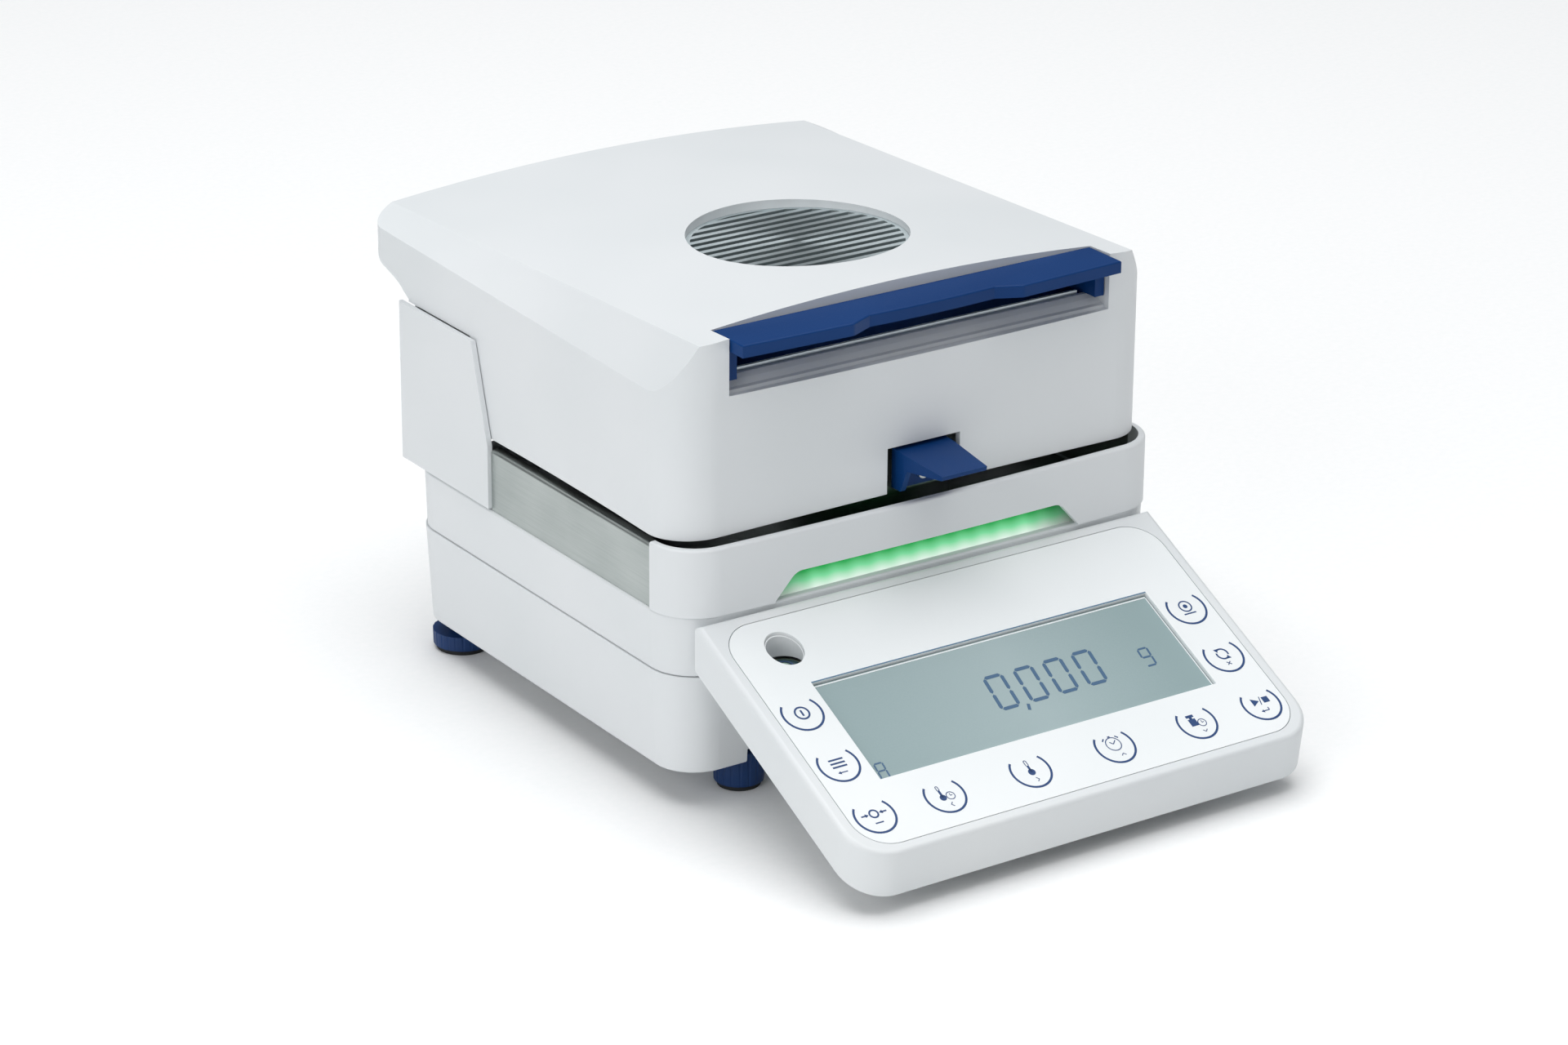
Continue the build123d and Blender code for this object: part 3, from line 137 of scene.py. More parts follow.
def brushedMetal(name, look):
    # Rolled or brushed metal: long thin streaks along one direction that stretch the highlight.
    material, tree, shader, place = startMaterial(name, {"Metallic": 1.0, "Anisotropic": 0.4})
    streakSize = [1 / (size * mm) for size in look["streak"]]
    stretched = addNode(tree, "ShaderNodeMapping", {"Scale": streakSize}, {"Vector": place})
    streaks = addNode(tree, "ShaderNodeTexNoise", {"Scale": 1.0, "Detail": 3.0, "Roughness": 0.65},
                      {"Vector": stretched.outputs["Vector"]})
    clouds = addNode(tree, "ShaderNodeTexNoise", {"Scale": 1 / (25 * mm), "Detail": 2.0},
                     {"Vector": place})
    both = addNode(tree, "ShaderNodeMath", {"operation": "MULTIPLY_ADD", 1: 0.6},
                   {0: streaks.outputs["Fac"]})
    softer = addNode(tree, "ShaderNodeMath", {"operation": "MULTIPLY", 1: 0.4},
                     {0: clouds.outputs["Fac"]})
    tree.links.new(softer.outputs["Value"], both.inputs[2])
    colour = fitRamp(addNode(tree, "ShaderNodeValToRGB", links={"Fac": both.outputs["Value"]}),
                     ((0.35, look["shade"]), (0.65, look["colour"])))
    gloss = addNode(tree, "ShaderNodeMapRange",
                    {"To Min": look["roughness"] - 0.08, "To Max": look["roughness"] + 0.1},
                    {"Value": streaks.outputs["Fac"]})
    bump = addNode(tree, "ShaderNodeBump", {"Strength": 0.18, "Distance": 0.01 * mm},
                   {"Height": streaks.outputs["Fac"]})
    tree.links.new(colour.outputs["Color"], shader.inputs["Base Color"])
    tree.links.new(gloss.outputs["Result"], shader.inputs["Roughness"])
    tree.links.new(bump.outputs["Normal"], shader.inputs["Normal"])
    return material


def clearPlate(name, look):
    # Clear glass, quartz or acrylic: sharp reflections, a faint tint and a dusty unevenness.
    material, tree, shader, place = startMaterial(name, {
        "IOR": look["ior"],
        "Transmission Weight": look["clear"],
    })
    dust = addNode(tree, "ShaderNodeTexNoise", {"Scale": 1 / (6 * mm), "Detail": 3.0},
                   {"Vector": place})
    gloss = addNode(tree, "ShaderNodeMapRange",
                    {"To Min": look["roughness"], "To Max": look["roughness"] + 0.06},
                    {"Value": dust.outputs["Fac"]})
    colour = fitRamp(addNode(tree, "ShaderNodeValToRGB", links={"Fac": dust.outputs["Fac"]}),
                     ((0.3, look["colour"]), (0.7, look["shade"])))
    tree.links.new(colour.outputs["Color"], shader.inputs["Base Color"])
    tree.links.new(gloss.outputs["Result"], shader.inputs["Roughness"])
    return material


def liquidCrystal(name, look):
    # Reflective liquid crystal panel behind a satin polariser: grey-green, with painted shade that makes
    #  it darker at both ends than in the middle, and the fine speckle of the rear reflector.
    material, tree, shader, place = startMaterial(name, {
        "IOR": 1.49,
        "Roughness": 0.34,
        "Coat Weight": 0.35,
        "Coat Roughness": 0.12,
    })
    across = addNode(tree, "ShaderNodeSeparateXYZ", links={"Vector": place})
    # Painted shade: the ramp below darkens the panel from the middle towards its left and right ends
    sweep = addNode(tree, "ShaderNodeMapRange",
                    {"From Min": -look["halfWidth"], "From Max": look["halfWidth"]},
                    {"Value": across.outputs["X"]})
    speckle = addNode(tree, "ShaderNodeTexNoise", {"Scale": 1 / (0.5 * mm), "Detail": 1.0},
                      {"Vector": place})
    mixed = addNode(tree, "ShaderNodeMath", {"operation": "MULTIPLY_ADD", 1: 0.16},
                    {0: speckle.outputs["Fac"], 2: sweep.outputs["Result"]})
    colour = fitRamp(addNode(tree, "ShaderNodeValToRGB", links={"Fac": mixed.outputs["Value"]}),
                     ((0.05, look["left"]), (0.6, look["middle"]), (1.0, look["right"])))
    tree.links.new(colour.outputs["Color"], shader.inputs["Base Color"])
    return material


def statusLight(name, look):
    # Frosted diffuser with green lamps behind its upper edge: saturated green at the top that
    # washes out to white towards the bottom edge and dims towards both ends.
    material, tree, shader, place = startMaterial(name, {
        "Roughness": 0.45,
        "Specular IOR Level": 0.2,
        "Base Color": linearColour(look["unlit"]),
    })
    parts = addNode(tree, "ShaderNodeSeparateXYZ", links={"Vector": place})
    height = addNode(tree, "ShaderNodeMapRange",
                     {"From Min": look["low"], "From Max": look["low"] + look["height"]},
                     {"Value": parts.outputs["Z"]})
    lamps = addNode(tree, "ShaderNodeTexWave",
                    {"Scale": math.pi / 10 / (look["lampPitch"] * mm), "Distortion": 0.6,
                     "Detail": 0.0},
                    {"Vector": place})
    uneven = addNode(tree, "ShaderNodeMath", {"operation": "MULTIPLY_ADD", 1: 0.05},
                     {0: lamps.outputs["Fac"], 2: height.outputs["Result"]})
    glow = fitRamp(addNode(tree, "ShaderNodeValToRGB", links={"Fac": uneven.outputs["Value"]}),
                   ((0.0, look["foot"]), (0.34, look["middle"]), (0.62, look["top"])))
    # Only the leaning front face glows, to the depth of its skin: the back and the ends are unlit
    frontLimit = look["front"] + look["skin"] - look["lean"] * look["low"]
    depth = addNode(tree, "ShaderNodeMath", {"operation": "MULTIPLY_ADD", 1: -look["lean"]},
                    {0: parts.outputs["Z"], 2: parts.outputs["Y"]})
    atFront = addNode(tree, "ShaderNodeMath", {"operation": "LESS_THAN", 1: frontLimit},
                      {0: depth.outputs["Value"]})
    sideways = addNode(tree, "ShaderNodeMath", {"operation": "ABSOLUTE"}, {0: parts.outputs["X"]})
    fading = addNode(tree, "ShaderNodeMapRange",
                     {"From Min": look["lampsEnd"], "From Max": look["darkEnd"],
                      "To Min": look["strength"], "To Max": look["endStrength"]},
                     {"Value": sideways.outputs["Value"]})
    power = addNode(tree, "ShaderNodeMath", {"operation": "MULTIPLY"},
                    {0: atFront.outputs["Value"], 1: fading.outputs["Result"]})
    tree.links.new(power.outputs["Value"], shader.inputs["Emission Strength"])
    tree.links.new(glow.outputs["Color"], shader.inputs["Emission Color"])
    return material


def printedBoard(name, look):
    # Glass-epoxy circuit board: green solder resist over a faint pattern of copper tracks.
    material, tree, shader, place = startMaterial(name, {"IOR": 1.55, "Roughness": 0.35})
    tracks = addNode(tree, "ShaderNodeTexBrick",
                     {"Scale": 1 / (look["track"] * mm), "Mortar Size": 0.08,
                      "Color1": linearColour(look["colour"]), "Color2": linearColour(look["shade"]),
                      "Mortar": linearColour(look["copper"])},
                     {"Vector": place})
    tree.links.new(tracks.outputs["Color"], shader.inputs["Base Color"])
    return material


def inkPrint(name, look):
    # Screen-printed ink on film: dense, slightly rough, with tiny pinholes of lighter tone.
    material, tree, shader, place = startMaterial(name, {"IOR": 1.5, "Roughness": look["roughness"]})
    pinholes = addNode(tree, "ShaderNodeTexNoise", {"Scale": 1 / (0.25 * mm), "Detail": 2.0},
                       {"Vector": place})
    colour = fitRamp(addNode(tree, "ShaderNodeValToRGB", links={"Fac": pinholes.outputs["Fac"]}),
                     ((0.35, look["colour"]), (0.75, look["shade"])))
    tree.links.new(colour.outputs["Color"], shader.inputs["Base Color"])
    return material


plasticLooks = {
    "whiteAbs": {"colour": "#E1E4E6", "shade": "#DCE0E2", "grain": 0.35, "drift": 70,
                 "roughness": 0.46, "bump": 0.25},
    "whiteTerminalAbs": {"colour": "#E3E6E7", "shade": "#DEE2E4", "grain": 0.35, "drift": 60,
                         "roughness": 0.44, "bump": 0.22},
    "whitePolyesterFilm": {"colour": "#F1F4F5", "shade": "#EDF1F2", "grain": 0.2, "drift": 50,
                           "roughness": 0.5, "bump": 0.12, "ior": 1.6},
    "blueAbs": {"colour": "#0B3972", "shade": "#09346A", "grain": 0.4, "drift": 40,
                "roughness": 0.42, "bump": 0.3, "specular": 0.15},
    "blueFootNylon": {"colour": "#10376B", "shade": "#0D3263", "grain": 0.4, "drift": 12,
                      "roughness": 0.45, "bump": 0.3, "specular": 0.3},
    "blackPolyester": {"colour": "#17191B", "shade": "#1E2022", "grain": 0.3, "drift": 15,
                       "roughness": 0.42, "bump": 0.3},
    "greyKeyPlastic": {"colour": "#C4C7C9", "shade": "#BCC0C2", "grain": 0.3, "drift": 8,
                       "roughness": 0.5, "bump": 0.2},
    "blackRubber": {"colour": "#1B1C1D", "shade": "#242526", "grain": 0.5, "drift": 6,
                    "roughness": 0.78, "bump": 0.5, "ior": 1.52},
    "levelLiquid": {"colour": "#3A5157", "shade": "#33484E", "grain": 2.0, "drift": 6,
                    "roughness": 0.12, "bump": 0.02, "ior": 1.47},
    "levelBubble": {"colour": "#9DB6A8", "shade": "#93AD9E", "grain": 1.0, "drift": 3,
                    "roughness": 0.1, "bump": 0.02, "ior": 1.45},
    "glazedCeramic": {"colour": "#DAD6CC", "shade": "#CFCABF", "grain": 0.3, "drift": 5,
                      "roughness": 0.55, "bump": 0.3},
}
metalLooks = {
    "brushedSidePlateSteel": {"colour": "#B9BFBD", "shade": "#A6ADAB", "streak": (0.3, 22, 0.3),
                              "roughness": 0.42},
    "satinStripAluminium": {"colour": "#D3DBDE", "shade": "#C0C9CD", "streak": (18, 0.4, 0.4),
                            "roughness": 0.4},
    "chamberStainlessSteel": {"colour": "#B4B7B8", "shade": "#A2A6A7", "streak": (12, 0.4, 0.4),
                              "roughness": 0.32},
    "paintedGrilleSteel": {"colour": "#CBD4D6", "shade": "#BAC5C8", "streak": (9, 0.5, 0.5),
                           "roughness": 0.5},
    "drawnPanAluminium": {"colour": "#D3D5D6", "shade": "#C3C6C7", "streak": (3, 3, 3),
                          "roughness": 0.28},
    "machinedCellAluminium": {"colour": "#C2C5C7", "shade": "#B0B4B6", "streak": (0.3, 8, 0.3),
                              "roughness": 0.36},
    "polishedReflectorAluminium": {"colour": "#DDDFE0", "shade": "#CFD2D3", "streak": (6, 6, 6),
                                   "roughness": 0.14},
    "zincPlatedSteel": {"colour": "#AEB2B2", "shade": "#999E9F", "streak": (2, 2, 2),
                        "roughness": 0.34},
    "turnedBrass": {"colour": "#C9A45A", "shade": "#B48F49", "streak": (4, 4, 0.3),
                    "roughness": 0.3},
}
clearLooks = {
    "borosilicateGlass": {"colour": "#F4F7F6", "shade": "#EEF3F1", "ior": 1.47, "clear": 1.0,
                          "roughness": 0.02},
    "quartzTube": {"colour": "#F7F7F5", "shade": "#EFEFEC", "ior": 1.46, "clear": 0.85,
                   "roughness": 0.05},
    "acrylicVial": {"colour": "#C9D8B4", "shade": "#BCCDA3", "ior": 1.49, "clear": 0.7,
                    "roughness": 0.06},
}
# Panel colours with painted shade: darker at the left and right ends than in the middle
screenLook = {"left": "#8CA2A4", "middle": "#A2B5B7", "right": "#8FA5A7", "halfWidth": 0.0722}
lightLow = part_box("light_bar")[0]
lightLook = {"strength": 0.95, "endStrength": 0.12, "lampsEnd": 46 * mm, "darkEnd": 67 * mm,
             "low": lightLow.z, "front": lightLow.y, "height": 10 * mm, "lean": 0.5,
             "skin": 0.3 * mm, "lampPitch": 9,
             "foot": "#E9F7EE", "middle": "#79D79B", "top": "#0CA043", "unlit": "#3F5747"}
boardLook = {"colour": "#1F5A38", "shade": "#235F3D", "copper": "#3E8258", "track": 9}
inkLooks = {
    "blueLegendInk": {"colour": "#0D3A70", "shade": "#14437C", "roughness": 0.45},
    "crystalSegment": {"colour": "#3C6082", "shade": "#476B8C", "roughness": 0.35},
    # Painted shadow colour for the display window's top edge
    "paintedWindowShadow": {"colour": "#4D7390", "shade": "#587D99", "roughness": 0.5},
    # Painted highlight colour for the display window's bevel
    "paintedWindowHighlight": {"colour": "#F2F6F7", "shade": "#FFFFFF", "roughness": 0.3},
    "seamShadow": {"colour": "#7F888D", "shade": "#8A9398", "roughness": 0.7},
}

materials = {}
for name, look in plasticLooks.items():
    materials[name] = mouldedPlastic(name, look)
for name, look in metalLooks.items():
    materials[name] = brushedMetal(name, look)
for name, look in clearLooks.items():
    materials[name] = clearPlate(name, look)
for name, look in inkLooks.items():
    materials[name] = inkPrint(name, look)
materials["liquidCrystalPanel"] = liquidCrystal("liquidCrystalPanel", screenLook)
materials["greenDiffuser"] = statusLight("greenDiffuser", lightLook)
materials["glassEpoxyBoard"] = printedBoard("glassEpoxyBoard", boardLook)

keyNames = ("power", "menu", "tare", "program_1", "program_2", "program_3", "program_4",
            "start", "refresh", "print")
footNames = ("front_left", "front_right", "rear_left", "rear_right")
finishes = {
    "whiteAbs": ["lower_casing", "upper_casing", "front_band", "rear_cover", "lid_shell"],
    "whiteTerminalAbs": ["terminal_housing", "terminal_bottom"],
    "whitePolyesterFilm": ["keypad_foil"],
    "blueAbs": ["handle_bar", "handler_grip"],
    "blueFootNylon": ["foot_knob_" + name for name in footNames],
    "blackPolyester": ["power_inlet", "serial_port"],
    "greyKeyPlastic": ["key_" + name for name in keyNames],
    "blackRubber": ["foot_pad_" + name for name in footNames],
    "glazedCeramic": ["lamp_sockets"],
    "brushedSidePlateSteel": ["side_plate_left", "side_plate_right"],
    "satinStripAluminium": ["recess_strip"],
    "chamberStainlessSteel": ["chamber_tray", "draught_ring", "lid_liner", "pan_handler",
                              "temperature_sensor", "hinge_plate_left", "hinge_plate_right",
                              "hinge_pin_left", "hinge_pin_right"],
    "paintedGrilleSteel": ["vent_grille"],
    "drawnPanAluminium": ["sample_pan"],
    "machinedCellAluminium": ["pan_support", "load_cell"],
    "polishedReflectorAluminium": ["lamp_reflector"],
    "zincPlatedSteel": ["power_supply", "casing_screws", "grip_screws"],
    "turnedBrass": ["foot_inserts"],
    "borosilicateGlass": ["protective_glass"],
    "quartzTube": ["halogen_lamp"],
    "acrylicVial": ["level_vial"],
    "liquidCrystalPanel": ["display_module"],
    "greenDiffuser": ["light_bar"],
    "glassEpoxyBoard": ["key_board", "main_board"],
}


def finishNode(name, material):
    node = nodes[name]
    if not node.material_slots:
        node.data.materials.append(material)
    for slot in node.material_slots:
        slot.material = material


for material, members in finishes.items():
    for member in members:
        finishNode(member, materials[material])
bare = sorted(set(nodes) - {member for members in finishes.values() for member in members})
print("materials on", len(nodes) - len(bare), "nodes, bare:", bare)

# The slab of the terminal: local x to the right, y up the slope from its upper edge, z out.
slab = {"tilt": 25.7, "foilStart": 6.0, "foilThickness": 0.5, "screenSink": 1.4,
        "film": 0.05, "lift": 0.01}
slabTilt = math.radians(slab["tilt"])
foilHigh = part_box("keypad_foil")[1]
slabTop = Vector((0, foilHigh.y - slab["foilThickness"] * mm * math.sin(slabTilt), foilHigh.z))
slabTop += Vector((0, math.cos(slabTilt), math.sin(slabTilt))) * slab["foilStart"] * mm
inMillimetres = Matrix.Diagonal((mm, mm, mm, 1))
slabPlace = Matrix.Translation(slabTop) @ Matrix.Rotation(slabTilt, 4, "X") @ inMillimetres


def drawArc(shape, centre, radius, start, sweep, width):
    turn = math.radians(start)
    outward = Vector((math.cos(turn), math.sin(turn), 0))
    ends = [shape.verts.new(centre + outward * (radius + half)) for half in (-width / 2, width / 2)]
    edge = shape.edges.new(ends)
    bmesh.ops.spin(shape, geom=ends + [edge], cent=centre, axis=(0, 0, 1),
                   angle=math.radians(sweep), steps=max(8, round(abs(sweep) / 8)),
                   use_merge=abs(sweep) >= 360)


def drawLine(shape, start, end, width):
    run = end - start
    side = Vector((-run.y, run.x, 0)).normalized() * width / 2
    edge = shape.edges.new([shape.verts.new(start + side), shape.verts.new(start - side)])
    made = bmesh.ops.extrude_edge_only(shape, edges=[edge])["geom"]
    far = [item for item in made if isinstance(item, bmesh.types.BMVert)]
    bmesh.ops.translate(shape, verts=far, vec=run)


def drawDisc(shape, centre, radius, corners, turn):
    place = Matrix.Translation(centre) @ Matrix.Rotation(math.radians(turn), 4, "Z")
    bmesh.ops.create_circle(shape, cap_ends=True, segments=corners, radius=radius, matrix=place)


def drawSegment(shape, centre, length, width, upright):
    # One bar of a seven-segment digit, pointed at both ends
    half, tip = width / 2, length / 2
    points = ((-tip, 0), (-tip + half, half), (tip - half, half), (tip, 0),
              (tip - half, -half), (-tip + half, -half))
    corners = [centre + Vector((-y, x, 0) if upright else (x, y, 0)) for x, y in points]
    shape.faces.new([shape.verts.new(corner) for corner in corners])


def drawStrokes(shape, strokes, centre):
    for kind, *numbers in strokes:
        if kind == "line":
            x1, y1, x2, y2, width = numbers
            drawLine(shape, centre + Vector((x1, y1, 0)), centre + Vector((x2, y2, 0)), width)
        elif kind == "arc":
            x, y, radius, start, sweep, width = numbers
            drawArc(shape, centre + Vector((x, y, 0)), radius, start, sweep, width)
        else:
            x, y, radius, corners, turn = numbers
            drawDisc(shape, centre + Vector((x, y, 0)), radius, corners, turn)


def raiseFlat(shape, height, lift):
    # Gives flat strokes their film thickness, standing this far above the surface
    bmesh.ops.remove_doubles(shape, verts=shape.verts[:], dist=0.001)
    shape.normal_update()
    bmesh.ops.reverse_faces(shape, faces=[face for face in shape.faces if face.normal.z < 0])
    bmesh.ops.solidify(shape, geom=shape.faces[:], thickness=height)
    lowest = min(vert.co.z for vert in shape.verts)
    bmesh.ops.translate(shape, verts=shape.verts[:], vec=(0, 0, lift - lowest))


def makePiece(name, shape, place, material, body, smooth=False):
    bmesh.ops.transform(shape, matrix=place, verts=shape.verts[:])
    bmesh.ops.recalc_face_normals(shape, faces=shape.faces[:])
    mesh = bpy.data.meshes.new(name)
    shape.to_mesh(mesh)
    shape.free()
    mesh.materials.append(materials[material])
    if smooth:
        mesh.shade_smooth()
    piece = bpy.data.objects.new(name, mesh)
    bpy.context.scene.collection.objects.link(piece)
    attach(piece, body)
    return piece


# Key legends: an open ring round each key and a plain symbol in it, in millimetres
legendPlan = {
    "ring": ("arc", 0, 0, 7.5, 140, 260, 0.85),
    "columns": 82.9,
    "rows": (48.4, 72.6, 96.6),
    "bottomRow": (-54.1, -18.1, 18.1, 54.1),
}
arrowLeft = [("line", 0.9, -3.4, 0, -4.3, 0.3), ("line", 0, -4.3, 0.9, -5.2, 0.3)]
arrowRight = [("line", 0, -3.4, 0.9, -4.3, 0.3), ("line", 0.9, -4.3, 0, -5.2, 0.3)]
arrowUp = [("line", 0.1, -4.7, 1.0, -3.8, 0.3), ("line", 1.0, -3.8, 1.9, -4.7, 0.3)]
arrowDown = [("line", 0.1, -3.9, 1.0, -4.8, 0.3), ("line", 1.0, -4.8, 1.9, -3.9, 0.3)]
smallClock = [("arc", 1.9, -0.7, 1.6, 0, 360, 0.3), ("line", 1.9, -0.7, 1.9, 0.3, 0.25),
              ("line", 1.9, -0.7, 2.7, -0.5, 0.25)]
legendSymbols = {
    "power": [("arc", 0, 0.2, 2.6, 0, 360, 0.7), ("line", 0, -1.1, 0, 1.5, 0.75)],
    "menu": [("line", -2.9, 2.2, 2.9, 2.2, 0.7), ("line", -2.9, 0.6, 2.9, 0.6, 0.7),
             ("line", -2.9, -1.0, 2.9, -1.0, 0.7), ("line", -1.2, -3.6, 1.6, -3.6, 0.4),
             ("disc", -1.5, -3.6, 0.8, 3, 90)],
    "tare": [("arc", 0, 0.8, 1.6, 0, 360, 0.65), ("line", -5.1, 0.8, -3.2, 0.8, 0.55),
             ("disc", -3.0, 0.8, 0.9, 3, 270), ("line", 5.1, 0.8, 3.2, 0.8, 0.55),
             ("disc", 3.0, 0.8, 0.9, 3, 90), ("line", -1.6, -3.2, 1.6, -3.2, 0.5)],
    "program_1": [("disc", -1.2, -0.8, 1.3, 24, 0), ("line", -1.2, -0.8, -1.2, 2.6, 0.9),
                  ("arc", -1.2, 3.9, 0.45, 0, 180, 0.3), ("line", -1.65, 2.6, -1.65, 3.9, 0.3),
                  ("line", -0.75, 2.6, -0.75, 3.9, 0.3)] + smallClock + arrowLeft,
    "program_2": [("disc", 0, -0.8, 1.4, 24, 0), ("line", 0, -0.8, 0, 2.2, 0.9),
                  ("arc", 0, 4.0, 0.5, 0, 180, 0.3), ("line", -0.5, 2.2, -0.5, 4.0, 0.3),
                  ("line", 0.5, 2.2, 0.5, 4.0, 0.3)] + arrowRight,
    "program_3": [("arc", 0, 0.9, 2.9, 0, 360, 0.35), ("line", 0, 0.9, -1.1, 2.0, 0.35),
                  ("line", 0, 0.9, 1.5, 2.3, 0.35), ("line", -3.4, 3.0, -2.4, 4.0, 0.5),
                  ("line", 3.4, 3.0, 2.4, 4.0, 0.5), ("line", -0.5, 4.3, 0.5, 4.3, 0.5)] + arrowUp,
    "program_4": [("line", -2.9, 3.1, 0.3, 3.1, 1.1), ("line", -1.3, 2.8, -1.3, 1.6, 1.2),
                  ("line", -1.3, 1.8, -1.3, -1.4, 3.0)] + smallClock + arrowDown,
    "start": [("disc", -2.2, 1.2, 2.0, 3, -90), ("line", -0.1, -0.6, 0.9, 3.0, 0.35),
              ("line", 2.8, -0.1, 2.8, 2.5, 2.6), ("line", -1.0, -3.4, 1.4, -3.4, 0.4),
              ("line", 1.4, -3.4, 1.4, -2.2, 0.4), ("disc", -1.3, -3.4, 0.8, 3, 90)],
    "refresh": [("arc", 0, 0.9, 2.3, -20, 140, 0.65), ("arc", 0, 0.9, 2.3, 160, 140, 0.65),
                ("disc", -1.5, 2.9, 1.1, 3, 60), ("disc", 1.5, -1.1, 1.1, 3, 240),
                ("line", -0.8, -3.0, 0.8, -4.4, 0.35), ("line", -0.8, -4.4, 0.8, -3.0, 0.35)],
    "print": [("arc", 0, 0.9, 2.4, 0, 360, 0.55), ("disc", 0, 0.9, 0.9, 24, 0),
              ("line", -2.6, -2.6, 2.6, -2.6, 0.55)],
}


def legendCentre(name, plan):
    rows = dict(zip(("power", "menu", "tare"), plan["rows"]))
    if name in rows:
        return Vector((-plan["columns"], -rows[name], 0))
    rows = dict(zip(("print", "refresh", "start"), plan["rows"]))
    if name in rows:
        return Vector((plan["columns"], -rows[name], 0))
    return Vector((plan["bottomRow"][int(name[-1]) - 1], -plan["rows"][-1], 0))


for name in keyNames:
    legend = bmesh.new()
    drawStrokes(legend, [legendPlan["ring"]] + legendSymbols[name], legendCentre(name, legendPlan))
    raiseFlat(legend, slab["film"], slab["lift"])
    makePiece("legend_" + name, legend, slabPlace, "blueLegendInk", "base")
print("legends printed")

# Readout: four digits, a comma, a unit mark and a small digit in the lower left corner
readout = {"width": 8.7, "height": 16.0, "bar": 1.45, "gap": 0.4, "slant": 0.09,
           "firstX": -6.7, "middle": 60.9, "pitch": 12.6, "firstStep": 12.9,
           "unitX": 55.4, "unitMiddle": 63.2, "unitScale": 0.55,
           "cornerX": -68.6, "cornerMiddle": 79.0, "cornerScale": 0.46,
           "comma": ((-0.4, -68.8), (-1.4, -71.4), 1.2)}
segmentPlan = {"a": (0, 1, False), "b": (1, 0.5, True), "c": (1, -0.5, True), "d": (0, -1, False),
               "e": (-1, -0.5, True), "f": (-1, 0.5, True), "g": (0, 0, False)}


def drawDigit(shape, letters, x, middle, scale, plan):
    start = len(shape.verts)
    halfWide = (plan["width"] - plan["bar"]) / 2
    halfHigh = (plan["height"] - plan["bar"]) / 2
    for letter in letters:
        across, up, upright = segmentPlan[letter]
        length = (halfHigh if upright else 2 * halfWide) - plan["gap"]
        drawSegment(shape, Vector((across * halfWide, up * halfHigh, 0)), length, plan["bar"], upright)
    shape.verts.ensure_lookup_table()
    slanted = Matrix(((scale, scale * plan["slant"], 0, x), (0, scale, 0, -middle),
                      (0, 0, 1, 0), (0, 0, 0, 1)))
    bmesh.ops.transform(shape, matrix=slanted, verts=shape.verts[start:])


digits = bmesh.new()
digitX = [readout["firstX"]]
digitX += [readout["firstX"] + readout["firstStep"] + readout["pitch"] * step for step in range(3)]
for x in digitX:
    drawDigit(digits, "abcdef", x, readout["middle"], 1.0, readout)
commaTop, commaTip, commaWidth = readout["comma"]
drawLine(digits, Vector((*commaTop, 0)), Vector((*commaTip, 0)), commaWidth)
raiseFlat(digits, slab["film"], slab["lift"] - slab["screenSink"])
makePiece("readout_digits", digits, slabPlace, "crystalSegment", "base")

marks = bmesh.new()
drawDigit(marks, "abcdfg", readout["unitX"], readout["unitMiddle"], readout["unitScale"], readout)
drawDigit(marks, "abcefg", readout["cornerX"], readout["cornerMiddle"], readout["cornerScale"], readout)
raiseFlat(marks, slab["film"], slab["lift"] - slab["screenSink"])
makePiece("readout_marks", marks, slabPlace, "crystalSegment", "base")
print("readout drawn")

# Joint between the film and the housing: a narrow shaded line that follows the rounded film
filmJoint = {"side": 93.15, "start": 5.85, "end": 109.75, "corner": 13.15, "width": 0.24,
             "sink": 0.42}
seam = bmesh.new()
straightX = filmJoint["side"] - filmJoint["corner"]
upperEnd = filmJoint["start"] + filmJoint["corner"]
lowerEnd = filmJoint["end"] - filmJoint["corner"]
for across, down, start in ((1, upperEnd, 0), (-1, upperEnd, 90), (-1, lowerEnd, 180), (1, lowerEnd, 270)):
    corner = Vector((across * straightX, -down, 0))
    drawArc(seam, corner, filmJoint["corner"], start, 90, filmJoint["width"])
for x in (filmJoint["side"], -filmJoint["side"]):
    drawLine(seam, Vector((x, -upperEnd, 0)), Vector((x, -lowerEnd, 0)), filmJoint["width"])
for down in (filmJoint["start"], filmJoint["end"]):
    drawLine(seam, Vector((-straightX, -down, 0)), Vector((straightX, -down, 0)), filmJoint["width"])
raiseFlat(seam, slab["film"], -filmJoint["sink"])
makePiece("foil_seam", seam, slabPlace, "seamShadow", "base")

# Display window: a painted shadow of the film's cut edge along its top,
#  and a painted highlight of its bevel on the screen
window = {"start": 37.2, "end": 83.1, "side": 72.2, "line": 0.5, "shadowGap": 0.3,
          "highlightInset": 0.6, "highlightDrop": 0.9, "sideDrop": 1.3, "sideLine": 0.35}
# Painted shadow: a dark line on the film along the window's top edge, standing in for the cut edge's shade
edgeShadowY = -window["start"] + window["shadowGap"]
edgeShadow = bmesh.new()
drawLine(edgeShadow, Vector((-window["side"], edgeShadowY, 0)), Vector((window["side"], edgeShadowY, 0)),
         window["line"])
raiseFlat(edgeShadow, slab["film"], slab["lift"])
makePiece("window_edge_painted_shadow", edgeShadow, slabPlace, "paintedWindowShadow", "base")
# Painted highlight: a white line on the screen along the window's top and right edges
highlightSide = window["side"] - window["highlightInset"]
highlightY = -window["start"] - window["highlightDrop"]
paintedHighlight = bmesh.new()
drawLine(paintedHighlight, Vector((-highlightSide, highlightY, 0)), Vector((highlightSide, highlightY, 0)), window["line"])
drawLine(paintedHighlight, Vector((highlightSide, -window["start"] - window["sideDrop"], 0)),
         Vector((highlightSide, -window["end"] + window["highlightInset"], 0)), window["sideLine"])
raiseFlat(paintedHighlight, slab["film"], slab["lift"] - slab["screenSink"])
makePiece("window_painted_highlight", paintedHighlight, slabPlace, "paintedWindowHighlight", "base")
print("film joint and window edges drawn")

